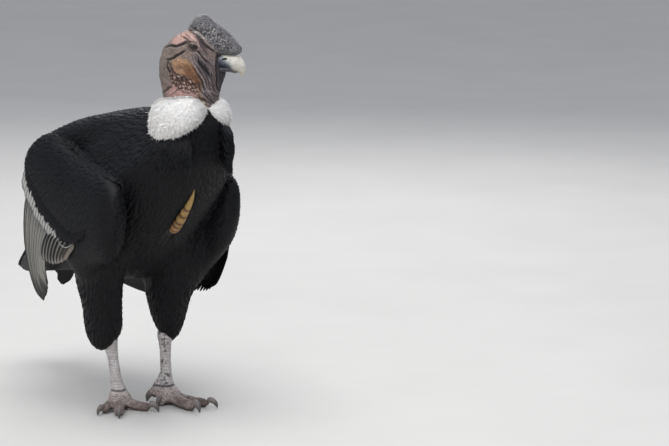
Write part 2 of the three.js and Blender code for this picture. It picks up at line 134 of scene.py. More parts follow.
# a closed grid: where(angle, t) for rings between two poles, each pole in the middle of its ring
def closedGrid(where, around, along):
    angle = np.arange(around) * 2 * np.pi / around
    t = np.linspace(0, 1, along + 1)
    rings = where(angle[None], t[1:-1, None] + 0 * angle)
    poles = [where(angle[None], np.full((1, around), end)).mean(1) for end in (0.0, 1.0)]
    points = np.vstack([rings.reshape(-1, 3), poles[0], poles[1]])
    low = np.arange((along - 2) * around).reshape(along - 2, around)
    side = np.roll(low, -1, axis=1)
    quads = np.stack([low, side, side + around, low + around], -1).reshape(-1, 4)
    first, last, top = np.arange(around), np.arange(around) + (along - 2) * around, len(points) - 2
    fans = [np.stack([np.full(around, top), np.roll(first, -1), first], -1)]
    fans.append(np.stack([np.full(around, top + 1), last, np.roll(last, -1)], -1))
    return points, quads, np.vstack(fans)


# a tube along a smooth route through points, with rows of half width and half depth
def tubeAlong(route, rows, facing):
    def where(angle, t):
        size = np.maximum(flow(rows, t), 0.1)
        ahead = unit(flow(route, t + 0.01) - flow(route, t - 0.01))
        across = unit(np.cross(facing, ahead))
        out = np.cross(ahead, across)
        return flow(route, t) + across * size[..., :1] * np.cos(angle)[..., None] + (
            out * size[..., 1:] * np.sin(angle)[..., None])
    return where


def squared(value, power):
    return np.sign(value) * np.abs(value) ** power


# puts points (mm), faces and a smooth look into a new object at the origin
def meshOf(name, points, faces, smooth=True):
    mesh = bpy.data.meshes.new(name)
    groups = [np.asarray(f) for f in faces if len(f)]
    sizes = np.concatenate([np.full(len(g), g.shape[1]) for g in groups])
    mesh.vertices.add(len(points))
    mesh.vertices.foreach_set("co", (np.asarray(points) * mm).astype(np.float32).ravel())
    mesh.loops.add(int(sizes.sum()))
    mesh.loops.foreach_set("vertex_index", np.concatenate([g.ravel() for g in groups]).astype(np.int32))
    mesh.polygons.add(len(sizes))
    mesh.polygons.foreach_set("loop_start", np.concatenate([[0], np.cumsum(sizes)[:-1]]).astype(np.int32))
    mesh.update(calc_edges=True)
    mesh.validate()
    mesh.polygons.foreach_set("use_smooth", np.full(len(mesh.polygons), smooth))
    piece = bpy.data.objects.new(name, mesh)
    bpy.context.scene.collection.objects.link(piece)
    return piece


def paint(piece, name, colours):
    layer = piece.data.color_attributes.new(name, "FLOAT_COLOR", "POINT")
    values = np.ones((len(piece.data.vertices), 4), np.float32)
    values[:, :3] = colours
    layer.data.foreach_set("color", values.ravel())


# distances in mm to a union of closed shapes, kept on a regular block of points; blend rounds the corners
# between them
class Field:
    def __init__(self, low, high, pitch, band=12):
        self.low, self.pitch, self.band = np.array(low, float), pitch, band
        self.size = np.ceil((np.array(high, float) - self.low) / pitch).astype(int) + 1
        self.values = np.full(self.size, band * pitch, np.float32)

    def add(self, shape, blend=0.0):
        points, quads, fans = shape
        cells = ((points - self.low) / self.pitch).astype(np.float32)
        grid = vdb.FloatGrid.createLevelSetFromPolygons(
            cells, triangles=fans.astype(np.uint32), quads=quads.astype(np.uint32),
            transform=vdb.createLinearTransform(1.0), halfWidth=float(self.band))
        other = np.empty(self.size, np.float32)
        grid.copyToArray(other)
        other *= self.pitch
        if blend:
            meet = np.maximum(blend - np.abs(self.values - other), 0) / blend
            self.values = np.minimum(self.values, other) - meet**2 * blend / 4
        else:
            self.values = np.minimum(self.values, other)

    # the same field on every second point
    def coarser(self):
        other = Field(self.low, self.low, self.pitch * 2, self.band / 2)
        other.values = np.ascontiguousarray(self.values[::2, ::2, ::2])
        other.size = np.array(other.values.shape)
        return other

    def surface(self, level=0.0):
        grid = vdb.FloatGrid(self.band * self.pitch)
        grid.copyFromArray(self.values.astype(np.float32))
        points, quads = grid.convertToQuads(isovalue=level)
        return points * self.pitch + self.low, quads

    # the distance and its slope at any points, eased between the block's points
    def at(self, p):
        place = np.clip((p - self.low) / self.pitch, 0, self.size - 1.001)
        i = place.astype(int)
        f = place - i
        c = [self.values[i[..., 0] + a, i[..., 1] + b, i[..., 2] + d] for a, b, d in np.ndindex(2, 2, 2)]
        x, y, z = f[..., 0], f[..., 1], f[..., 2]
        edges = [mixed(c[k], c[k + 1], z) for k in (0, 2, 4, 6)]
        faces = [mixed(edges[0], edges[1], y), mixed(edges[2], edges[3], y)]
        slopeX = faces[1] - faces[0]
        slopeY = mixed(edges[1] - edges[0], edges[3] - edges[2], x)
        rise = [c[k + 1] - c[k] for k in (0, 2, 4, 6)]
        slopeZ = mixed(mixed(rise[0], rise[1], y), mixed(rise[2], rise[3], y), x)
        return mixed(faces[0], faces[1], x), np.stack([slopeX, slopeY, slopeZ], -1) / self.pitch

    # moves points along the slope until their distance is the wanted height
    def settle(self, p, height, rounds=3):
        for _ in range(rounds):
            gap, slope = self.at(p)
            p = p - (gap - height)[..., None] * slope / np.maximum((slope**2).sum(-1, keepdims=True), 0.25)
        return p


print("stage: finishes")


# a shader socket that takes part in sums: each + - * adds its Math node
class Wire:
    def __init__(self, finish, socket):
        self.finish, self.socket = finish, socket

    def math(self, operation, *values):
        return self.finish.node("ShaderNodeMath", {"operation": operation}, values)

    def __add__(self, other):
        return self.math("ADD", self, other)

    def __sub__(self, other):
        return self.math("SUBTRACT", self, other)

    def __rsub__(self, other):
        return self.math("SUBTRACT", other, self)

    def __mul__(self, other):
        return self.math("MULTIPLY", self, other)

    __radd__, __rmul__ = __add__, __mul__

    # 0 at low, 1 at high, eased between and level beyond
    def ramp(self, low, high):
        smooth = {"interpolation_type": "SMOOTHSTEP"}
        return self.finish.node("ShaderNodeMapRange", smooth, [self, low, high, 0.0, 1.0])


# a material whose nodes are added one by one
class Finish:
    def __init__(self, name):
        self.material = bpy.data.materials.new(name)
        self.material.use_nodes = True
        self.tree = self.material.node_tree
        self.tree.nodes.clear()
        self.place = self.node("ShaderNodeTexCoord", out="Object")

    # any node: settings first, then its sockets' values or links, by place or by name
    def node(self, kind, settings=None, values=(), out=0):
        made = self.tree.nodes.new(kind)
        for key, value in (settings or {}).items():
            setattr(made, key, value)
        for key, value in values.items() if isinstance(values, dict) else enumerate(values):
            if isinstance(value, Wire):
                self.tree.links.new(value.socket, made.inputs[key])
            elif isinstance(value, np.ndarray):
                made.inputs[key].default_value = [*value, 1.0]
            else:
                made.inputs[key].default_value = value
        return Wire(self, made.outputs[out]) if made.outputs else None

    def blend(self, share, a, b, kind="MIX"):
        settings = {"data_type": "RGBA", "blend_type": kind}
        return self.node("ShaderNodeMix", settings, {0: share, 6: a, 7: b}, 2)

    # a colour multiplied by a tinge where the mask is 0, and left as it is where the mask is 1
    def tinged(self, colour, mask, tinge):
        return self.blend(1.0, colour, self.blend(mask, tint(*tinge), tint(255, 255, 255)), "MULTIPLY")

    def speckle(self, scale, detail=3.0, place=None):
        values = {"Vector": place or self.place, "Scale": scale, "Detail": detail, "Roughness": 0.55}
        return self.node("ShaderNodeTexNoise", None, values)

    def cells(self, scale, place):
        values = {"Vector": place, "Scale": scale}
        return self.node("ShaderNodeTexVoronoi", {"feature": "DISTANCE_TO_EDGE"}, values)

    def stretched(self, scale, place=None):
        values = {"Vector": place or self.place, "Scale": scale}
        return self.node("ShaderNodeMapping", None, values)

    def attribute(self, name, out="Color"):
        return self.node("ShaderNodeAttribute", {"attribute_name": name}, out=out)

    def bump(self, height, distance, strength):
        values = {"Height": height, "Distance": distance, "Strength": strength}
        return self.node("ShaderNodeBump", None, values)

    def close(self, values):
        shader = self.node("ShaderNodeBsdfPrincipled", None, values)
        self.node("ShaderNodeOutputMaterial", None, {"Surface": shader})
        return self.material


print("stage: camera, light and floor")
view = {
    "place": (-2.950938, -5.887542, 1.5),
    "lookDown": 9.81548,  # degrees
    "turn": -30.38636,
    "lens": 178.0,
}
camera = bpy.data.objects.new("camera", bpy.data.cameras.new("camera"))
camera.data.lens = view["lens"]
camera.location = view["place"]
camera.rotation_euler = (np.radians(90 - view["lookDown"]), 0, np.radians(view["turn"]))
bpy.context.scene.collection.objects.link(camera)
bpy.context.scene.camera = camera

lamps = {  # place, size across in metres, watts
    "overhead": ((-0.6, -0.7, 3.4), 2.6, 105),
    "front": ((-3.4, -3.2, 1.9), 2.4, 52),
    "back": ((1.9, 2.2, 2.3), 1.8, 42),
}
for name, (place, size, power) in lamps.items():
    lamp = bpy.data.objects.new("lamp_" + name, bpy.data.lights.new("lamp_" + name, "AREA"))
    lamp.data.size = size
    lamp.data.energy = power
    lamp.location = place
    aim = np.array([0.0, 0.0, 0.4]) - np.array(place)
    lamp.rotation_euler = (np.arctan2(np.hypot(aim[0], aim[1]), -aim[2]), 0, np.arctan2(-aim[0], aim[1]))
    bpy.context.scene.collection.objects.link(lamp)
sky = bpy.data.worlds.new("sky")
sky.use_nodes = True
sky.node_tree.nodes["Background"].inputs["Color"].default_value = (0.86, 0.90, 1.0, 1.0)
sky.node_tree.nodes["Background"].inputs["Strength"].default_value = 0.55
bpy.context.scene.world = sky
bpy.context.scene.view_settings.view_transform = "Standard"

floorReach = 14000.0
corners = np.array([[-1, -1, 0], [1, -1, 0], [1, 1, 0], [-1, 1, 0]]) * floorReach
floor = meshOf("floor", corners, [np.array([[0, 1, 2, 3]])], smooth=False)
plain = Finish("floor")
grain = plain.speckle(3.0, 2.0)
floorColour = plain.blend(grain, tint(196, 194, 190), tint(206, 204, 200))
floor.data.materials.append(plain.close({"Base Color": floorColour, "Roughness": 0.9}))

print("stage: flesh")
trunkRows = [  # forward, top, bottom, half width
    [-338, 424, 420, 1], [-318, 456, 394, 46], [-255, 522, 338, 84], [-170, 569, 278, 109],
    [-75, 593, 254, 120], [20, 612, 284, 123], [100, 624, 346, 122], [165, 628, 405, 114],
    [212, 634, 454, 96], [245, 636, 500, 74], [264, 610, 532, 43], [270, 578, 566, 1],
]
wing = {
    "rows": [  # forward, top, bottom, outer side, inner side
        [166, 450, 432, 136, 124], [156, 480, 386, 149, 112], [122, 496, 338, 161, 102],
        [58, 507, 310, 166, 94], [-8, 519, 284, 168, 90], [-64, 536, 318, 168, 90],
        [-125, 550, 368, 168, 92], [-178, 539, 414, 165, 96], [-206, 508, 448, 158, 110],
        [-213, 486, 474, 142, 130],
    ],
    "leftDroop": 46.0,
    "leftTuck": 10.0,
}
thighs = {  # side, forward, height, half width, half length
    "right": [
        [-82, 0, 402, 4, 4], [-82, 0, 386, 38, 60], [-88, -6, 330, 44, 80], [-87, -17, 272, 41, 66],
        [-79, -22, 215, 37, 46], [-71, -33, 165, 34, 43], [-71, -40, 140, 24, 29], [-72, -42, 126, 13, 15],
        [-71, -42, 120, 1, 1],
    ],
    "left": [
        [82, 6, 402, 4, 4], [82, 6, 386, 38, 60], [78, 0, 330, 48, 78], [69, -10, 268, 49, 70],
        [65, -13, 212, 39, 51], [67, -16, 170, 29, 35], [70, -17, 144, 18, 20], [71, -17, 134, 10, 10],
        [71, -17, 128, 1, 1],
    ],
}


# upright slices from the rump to the breast, each a rounded box narrowed towards its top
def trunkAt(angle, t):
    forward, top, bottom, halfWidth = np.moveaxis(flow(trunkRows, t), -1, 0)
    foreness = step(forward, 20, 190)
    up = squared(np.sin(angle), 0.9)
    across = squared(np.cos(angle), np.where(up > 0, mixed(0.64, 0.95, foreness), 0.88))
    taper = 1 - foreness * np.where(up > 0, 0.38 * up, -0.22 * up)
    return spot(halfWidth * across * taper, forward, (top + bottom) / 2 + (top - bottom) / 2 * up)


# the folded arm: upright slices from the wrist back; the left one hangs lower and lies closer
def wingAt(side):
    def where(angle, t):
        forward, top, bottom, outer, inner = np.moveaxis(flow(wing["rows"], t), -1, 0)
        up = squared(np.sin(angle), 0.9)
        out = (outer + inner) / 2 + (outer - inner) / 2 * squared(np.cos(angle), 0.85)
        out = out - 16 * np.maximum(0, np.abs(up) - 0.55) ** 1.5
        height = (top + bottom) / 2 + (top - bottom) / 2 * up
        if side > 0:
            out = out - wing["leftTuck"]
            height = height - wing["leftDroop"] * step(-forward, -165, 20)
        return spot(side * out, forward, height)
    return where


# level slices down the feathered leg
def thighAt(rows):
    def where(angle, t):
        side, forward, height, halfWidth, halfLength = np.moveaxis(flow(rows, t), -1, 0)
        return spot(side + halfWidth * np.cos(angle), forward + halfLength * np.sin(angle), height)
    return where


# the shoulder feathers' own mass, which fills the dip between back and wing. Rows of side, forward, height
mantle = {
    "route": [
        [60, 70, 586], [72, 20, 579], [86, -50, 565], [96, -110, 547], [112, -165, 524], [126, -195, 500],
    ],
    "sizes": [[3, 3], [18, 16], [28, 22], [30, 24], [24, 20], [3, 3]],
    "leftDrop": 14.0,
}


def mantleAt(side):
    rows = np.array(mantle["route"], float)
    rows[:, 2] -= mantle["leftDrop"] * (side > 0) * np.linspace(0, 1, len(rows))
    route = [spot(side * x, forward, height) for x, forward, height in rows]
    return tubeAlong(route, mantle["sizes"], np.array([side * 0.5, 0, 1.0]))


coatDepth = 5.0
shapes = {"trunk": trunkAt, "mantleRight": mantleAt(-1), "mantleLeft": mantleAt(1)}
shapes.update(wingRight=wingAt(-1), wingLeft=wingAt(1))
shapes.update(thighRight=thighAt(thighs["right"]), thighLeft=thighAt(thighs["left"]))
blends = {"mantle": 26, "wing": 9, "thigh": 30}
body = Field([-200, -380, 90], [200, 268, 660], 4.0)
for name, where in shapes.items():
    body.add(closedGrid(where, 72, 72), next((blends[k] for k in blends if name.startswith(k)), 0))

# feathers hide this skin, so every second point of the field is fine enough for it
bodyPoints, bodyQuads = body.coarser().surface(-coatDepth)
print("  body skin", len(bodyPoints), "points")

print("stage: head")
head = {
    "turn": np.radians(63),
    "side": 13.0,
    "forward": 198.0,
    "eyeHeight": 750.0,
    "pitch": 1.36,
    "slices": [  # up from the eyes, back, front, half width, how pointed the front is
        [-131, -4, 8, 1, 0], [-127, -22, 26, 18, 0], [-116, -44, 43, 33, 0.05],
        [-100, -54, 49.5, 39, 0.15], [-80, -60, 54.5, 41, 0.3], [-60, -64, 61, 41, 0.4],
        [-44, -65, 63.5, 41, 0.5], [-30, -64, 62, 40, 0.5], [-16, -60.5, 58, 36.5, 0.45],
        [0, -55, 50, 33, 0.4], [12, -42, 38, 29.5, 0.3], [22, -31, 26, 23, 0.15], [29, -19, 14, 16, 0],
        [32, -8, 2, 1, 0],
    ],
    "comb": [  # lower edge ahead and up, upper edge ahead and up, half thickness
        [-9.5, 35.5, -9.5, 37.5, 1], [-8, 34.2, -5.5, 46, 7], [-2, 31, 2, 55.5, 9.5],
        [5.5, 26.6, 13, 61.5, 11], [13, 21, 25, 63, 12], [20, 12.5, 34, 58, 12.8],
        [28, 2.5, 45, 47.5, 13.2], [39, -6, 57, 39, 13.5], [52, -14, 69, 29, 13.2],
        [64, -16.8, 81, 16.3, 12.3], [76, -17.6, 90.5, 6, 10.8], [86, -16.5, 95, -3.5, 8],
        [92, -13, 94.8, -9, 4], [94, -11.5, 94.3, -10, 1],
    ],
    "neckRadius": 54.0,
    "eyeRadius": 9.5,
    "eyeSide": 23.8,
    "eyeUp": 3.5,
}


# from the head's own axes (ahead along the bill, to its left, up from the eyes) to the part's frame
def onHead(p):
    c, s = np.cos(head["turn"]), np.sin(head["turn"])
    x, y = p[..., 1], -p[..., 0]
    moved = np.stack([x * c - y * s, x * s + y * c, p[..., 2]], -1)
    return moved + spot(head["side"], head["forward"], head["eyeHeight"])


def offHead(p):
    c, s = np.cos(head["turn"]), np.sin(head["turn"])
    x, y, z = np.moveaxis(p - spot(head["side"], head["forward"], head["eyeHeight"]), -1, 0)
    return np.stack([x * s - y * c, x * c + y * s, z], -1)


# level slices from the throat to the crown: ovals narrowed towards the front
def headAt(angle, t):
    up, back, front, halfWidth, point = np.moveaxis(flow(head["slices"], t), -1, 0)
    along = np.cos(angle)
    ahead = (back + front) / 2 + (front - back) / 2 * along
    narrow = 1 - point * np.maximum(0, along) ** 1.5
    return np.stack([ahead, halfWidth * np.sin(angle) * narrow, up + 0 * angle], -1)


# cross sections of the comb from its lower to its upper edge, squarish and a little thicker below
def combAt(angle, t):
    lowAhead, lowUp, highAhead, highUp, half = np.moveaxis(flow(head["comb"], t), -1, 0)
    rise = (1 + np.cos(angle)) / 2
    thick = half * squared(np.sin(angle), 0.8) * (1.15 - 0.3 * rise)
    return np.stack([mixed(lowAhead, highAhead, rise), thick, mixed(lowUp, highUp, rise)], -1)


neckRoute = [spot(8, 198, 690), spot(6, 200, 650), spot(3, 205, 620), spot(2, 208, 588)]
neckSizes = np.array([[0.04], [0.87], [0.93], [1], [1], [0.04]]) * head["neckRadius"] * np.ones(2)
neckTube = tubeAlong(neckRoute, neckSizes, np.array([0.0, -1, 0]))

flesh = Field([-80, -62, -172], [106, 62, 72], head["pitch"])
flesh.add(closedGrid(headAt, 96, 110))
points, quads, fans = closedGrid(neckTube, 72, 60)
flesh.add((offHead(points), quads, fans), 8)
flesh.add(closedGrid(combAt, 72, 90), 3)
headPoints, headQuads = flesh.surface(-0.4)
_, slope = flesh.at(headPoints)
headNormals = unit(slope)
print("  head skin", len(headPoints), "points")

# grooves and ridges of the bare skin: depth (below 0 a ridge), half width, line of (ahead, up)
folds = [
    (3.4, 2.1, [(-56.2, -1.3), (-51.4, 2.5), (-43.8, 4.7), (-30.5, 4.1), (-24.7, 6.5), (-13.3, 11.9),
                (-7.5, 12.3)]),
    (3.0, 1.9, [(-13.4, -2.6), (-19.2, -6.9), (-28.2, -12.2), (-35.9, -16.8), (-42.7, -19.8),
                (-52.3, -22.4)]),
    (2.2, 1.6, [(-47.3, -21.2), (-48.5, -28.7), (-49.4, -36.4), (-45.6, -43.8), (-43, -50.2)]),
    (1.6, 1.3, [(-44.5, -24.2), (-42.9, -33.5), (-38.6, -44.7), (-31, -49.6), (-23.4, -51.3)]),
    (3.0, 1.7, [(-5.6, 31.3), (4.3, 26.9), (14.3, 20.1), (24.5, 6.1), (29.5, 1.5), (37.2, -4.7),
                (43.7, -11.4)]),
    (2.2, 1.4, [(-22, 22.5), (-15, 19.4), (-8.8, 14.1), (-1.2, 11.6), (4.9, 9.2)]),
    (1.0, 1.1, [(-16.2, 27), (-8.7, 21.3), (-3.6, 15.9)]),
    (-2.4, 2.0, [(-10.1, 27.1), (-2.6, 20.6), (4, 15.8), (9.1, 8.3), (15.3, -0.7)]),
    (1.6, 2.0, [(5.5, 21.6), (13.1, 16.6), (16.8, 10.3), (21.8, 3.9), (29.4, -4.1)]),
    (1.2, 1.2, [(11.1, 10.6), (17.1, 1.8), (22, -6), (29.3, -16.5)]),
    (2.4, 1.4, [(4.7, -4.4), (11.4, -8.4), (16.5, -14.4), (22.8, -22.3), (30.5, -30.3)]),
    (-1.8, 1.3, [(19.4, -13.3), (25.7, -20), (32.8, -28.1)]),
    (-1.5, 1.3, [(5.6, -7), (12.7, -15.9), (18.9, -23.9)]),
    (2.8, 2.5, [(8.8, -17.8), (13.7, -28), (20.2, -35.9), (26.5, -44), (34.1, -55)]),
    (1.5, 1.4, [(20.8, -28.4), (25.2, -35.1), (30, -42.7)]),
    (-1.9, 1.5, [(-4.1, -23.2), (2.1, -32.6), (8.5, -42.9), (20.5, -61.7), (21.8, -73.4), (36.5, -92.8)]),
    (1.9, 1.4, [(-3, -29.7), (2.4, -39.3), (11, -52.1), (16.5, -62), (18.5, -73.2), (23.3, -83.8),
                (33.5, -94.4)]),
    (1.5, 1.3, [(3.9, -27.6), (11.5, -38.1), (19.1, -51.2), (23.8, -61.9), (24.9, -72.3), (30.7, -80.5)]),
    (1.4, 1.3, [(8.7, -24.7), (16.7, -38.2), (24.3, -50.2), (29.3, -61.7), (33, -78.2), (37.9, -87.6)]),
    (1.3, 1.3, [(35.6, -42.2), (36.7, -55.2), (38, -68.1), (40.4, -81.5), (45.7, -92.6)]),
    (1.1, 1.2, [(30.5, -26.6), (37.4, -34.7), (40.6, -46.5), (41.1, -62), (43.2, -79.3)]),
    (2.3, 2.0, [(44.2, -20.2), (45.4, -36.8), (45.6, -56), (46.2, -72.9), (49.7, -89.4)]),
    (1.8, 1.4, [(9.5, -63.6), (13.3, -77.9), (21, -87.5), (32.5, -100.2), (40.4, -109.4)]),
    (1.8, 1.4, [(13.2, -92.9), (20.9, -96.7), (28.6, -102.4), (36.5, -110.2), (44.4, -114.4)]),
    (1.5, 1.3, [(8.3, -83.5), (12.1, -93.4), (20.9, -105.8), (27.5, -115.9)]),
    (1.5, 1.3, [(33, -85.8), (37.9, -91.5), (45.7, -94.6), (50.3, -94.4)]),
    (1.8, 1.6, [(-59.3, -90), (-54.1, -83.4), (-47.8, -76.4), (-41.3, -73.3)]),
    (1.3, 1.3, [(-44.1, -91.2), (-37.6, -83.5), (-31.3, -78), (-23.6, -75.8)]),
    (1.4, 1.3, [(-23.7, -80.9), (-16, -82.7), (-4.6, -84.6)]),
    (-3.4, 2.2, [(-44.7, 16.6), (-41.7, 12.8)]),
    (1.2, 1.3, [(52.8, -43.8), (53.7, -55.6), (50.9, -71)]),
    (1.0, 1.2, [(58.7, -40.7), (58.8, -54.4), (55.2, -67.7)]),
]
flat = headPoints[:, [0, 2]]
sideways = step(np.abs(headNormals[:, 1]), 0.12, 0.5)
ahead, left, up = headPoints.T
carve = np.zeros(len(headPoints))
groove, ridge = np.zeros(len(headPoints)), np.zeros(len(headPoints))
wander = np.stack([noise(headPoints / 9, 3), noise(headPoints / 9, 4)], -1) * 1.1
for depth, width, line in folds:
    gap, share = toLine(flat + wander, line)
    fade = np.clip(np.sin(np.pi * np.clip(share, 0.03, 0.97)) * 2.2, 0, 1) * sideways
    cut = np.exp(-((gap / width) ** 2)) * fade
    lip = np.exp(-(((gap - 2.1 * width) / width) ** 2)) * fade
    carve += -depth * cut + 0.3 * abs(depth) * lip
    groove += np.maximum(depth, 0) / 2.6 * cut
    ridge += np.maximum(-depth, 0) / 2.4 * cut + 0.12 * depth * lip


# 1 inside a closed loop of (ahead, up) corners, falling to 0 over the given width outside it
def within(p, corners, width):
    loop = np.array(corners, float)
    ends = np.roll(loop, -1, axis=0)
    gap, _ = toLine(p, np.vstack([loop, loop[:1]]))
    rise = ends[:, 1] - loop[:, 1]
    rise = np.where(rise == 0, 1e-9, rise)
    crossing = (loop[:, 0] - p[:, :1]) + (p[:, 1:] - loop[:, 1]) / rise * (ends[:, 0] - loop[:, 0])
    spans = (loop[:, 1] > p[:, 1:]) != (ends[:, 1] > p[:, 1:])
    inside = (spans & (crossing > 0)).sum(1) % 2 == 1
    return step(np.where(inside, gap, -gap), -width, width)


combMask = within(flat, [(-12, 34), (-9, 47), (2, 60), (18, 68), (34, 66), (60, 44), (80, 28), (98, 10),
                         (102, -6), (94, -20), (56, -16.5), (51, -11), (45, -6), (38, -3.5), (31, 2),
                         (25, 7.2), (19.4, 15.8), (13.6, 22.4), (4.4, 28), (-6, 33)], 1.0)
combMask = np.maximum(combMask, step(up, 36, 38))
cheek = within(flat, [(-42, -22), (-33, -17), (-21, -18), (-12, -21), (-2, -29), (7, -46), (13, -60),
                      (13, -79), (7, -75), (-1, -59), (-18, -52), (-33, -48), (-40, -37)], 5)
burnt = within(flat, [(-17.5, -29), (-6, -32), (5, -48), (13, -64), (13, -83), (5, -79), (-2, -63),
                      (-14, -52)], 6)
grains = within(flat, [(-48, -26), (-43, -33), (-38, -44), (-31, -48), (-18, -50), (-6, -57), (5, -67),
                       (12, -85), (3, -85), (-8, -81), (-26, -79), (-39, -70), (-44, -57), (-50, -42)], 4)
rosy = within(flat, [(-44, -68), (-33, -71), (-14, -71), (5, -83), (12, -99), (-48, -97), (-52, -85)], 7)
creased = within(flat, [(6, -3), (15, -3), (31, -13), (43, -24), (45, -62), (48, -94), (44, -116),
                        (26, -121), (12, -99), (9, -71), (7, -48), (-4, -21)], 5)
lore = within(flat, [(46, -11), (56, -16), (68, -26), (72, -37), (66, -41), (64, -56), (58, -78),
                     (52, -93), (46, -72), (45, -35)], 3)
crown = within(flat, [(-42, 10), (-34, 20), (-22, 27), (-9, 32), (2, 23), (13, 8), (11, 1), (0, 11),
                      (-13, 14), (-25, 7), (-36, 5)], 3)
violet = within(flat, [(6, 23), (14, 18), (19, 10), (27, -2), (25, -7), (16, 0), (10, 12)], 3)
amber = within(flat, [(10, -85), (20, -97), (26, -112), (20, -113), (12, -97)], 4)
slate = within(flat, [(11, -23), (19, -26), (28, -40), (34, -56), (26, -53), (17, -41)], 4)
combMask = combMask * (np.abs(left) < 18)
bare = 1 - combMask

# worm-like grains, parallel creases that run down and forwards, warts on the comb, and fine wrinkles
_, wormEdge = pebbles(np.stack([ahead + 0.5 * up, left, up * 0.7], -1) / 5.2, 5)
carve += grains * sideways * (2.6 * step(wormEdge, 0.05, 0.35) * (0.6 + 0.5 * noise(headPoints / 5, 6)) - 0.9)
across = (ahead * 0.89 + up * 0.45 + 3.0 * noise(headPoints / 14, 8)) / 4.8
ripple = np.abs(np.sin(np.pi * across)) ** 0.7
carve += creased * sideways * (0.9 * ripple - 0.5)
wartPlace = np.stack([ahead * 0.8 - up * 0.6, left, (ahead * 0.6 + up * 0.8) * 1.5], -1)
_, wartEdge = pebbles(wartPlace / 5.4, 11)
combSide = combMask * step(np.abs(headNormals[:, 1]), 0.3, 0.8)
combRim = [(-9, 38), (-1, 52), (7, 60), (25, 64), (39, 54), (56, 41), (68, 32), (84, 14), (94, 0)]
combLip = [(-7, 36), (4, 29.5), (14, 23.5), (20.5, 16.5), (26.5, 7.5), (32.5, 2), (39, -2)]
rimGap, lipGap = (toLine(flat, line)[0] for line in (combRim, combLip))
lip = combMask * step(-lipGap, -3.2, -1.8)
wartZone = combSide * (1 - lip) * within(flat, [(2, 36), (14, 50), (30, 42), (46, 38), (56, 27), (75, 8),
                                                (86, -6), (56, -9.5), (41, -1), (29, 10), (20, 21)], 6)
carve += wartZone * (2.0 * step(wartEdge, 0.04, 0.4) - 0.9)
rows = (ahead * 0.62 + up * 0.78 + 2.4 * noise(headPoints / 8, 21)) / 3.6
combRows = combSide * (1 - wartZone) * (1 - lip) * step(rimGap, 2, 5)
carve += combRows * (1.0 * np.abs(np.sin(np.pi * rows)) ** 0.8 - 0.5)
carve += combSide * (0.9 * np.exp(-((rimGap / 2.4) ** 2)) - 0.7 * np.exp(-(((rimGap - 6) / 2) ** 2)))
carve += 1.1 * lip - 1.2 * combSide * np.exp(-(((lipGap - 4.2) / 1.1) ** 2)) * combMask
carve += bare * 0.55 * noise(headPoints / 4.2, 31) + bare * 0.9 * noise(headPoints / 13, 32)
carve += combMask * 0.5 * noise(headPoints / 5, 33)
carve += 3.2 * np.exp(-(((ahead + 43) / 2.6) ** 2) - ((up - 15) / 2.6) ** 2) * step(np.abs(left), 4, 10)
napeRolls = step(-ahead, 30, 55) * step(up, -112, -90) * step(-up, -2, 14)
rollPlace = up + 0.5 * np.abs(left) + 4 * noise(headPoints / 18, 41)
carve += napeRolls * 0.7 * np.abs(np.sin(rollPlace / 5.2))
carve -= 2.6 * lore * sideways * bare

# the socket: the skin sinks round the eyeball and the lids lie over it; a brow hangs over its upper edge
eyeGap = np.hypot(ahead, up - head["eyeUp"])
socket = step(-eyeGap, -12.5, -7.5) * sideways
browGap, _ = toLine(flat, [(-11, 11), (-4, 13), (4, 10.5), (10, 4), (12, -3)])
brow = np.exp(-((browGap / 2.4) ** 2)) * sideways
carve = carve * (1 - step(-eyeGap, -10.5, -8) * sideways) - 2.6 * socket + 2.2 * brow
headPoints = headPoints + headNormals * carve[:, None]


# one tone per point: each pair's colour laid over the ones before it by its mask
def coloured(*parts):
    shade = None
    for mask, colour in parts:
        colour, share = np.array(colour, float), np.clip(mask, 0, 1)[:, None]
        shade = colour + 0 * share if shade is None else mixed(shade, colour, share)
    return shade


whole = np.ones(len(headPoints))
mottle = noise(headPoints / 6, 51)
fine = noise(headPoints / 2.2, 52)
grainTop = step(wormEdge, 0.12, 0.4)
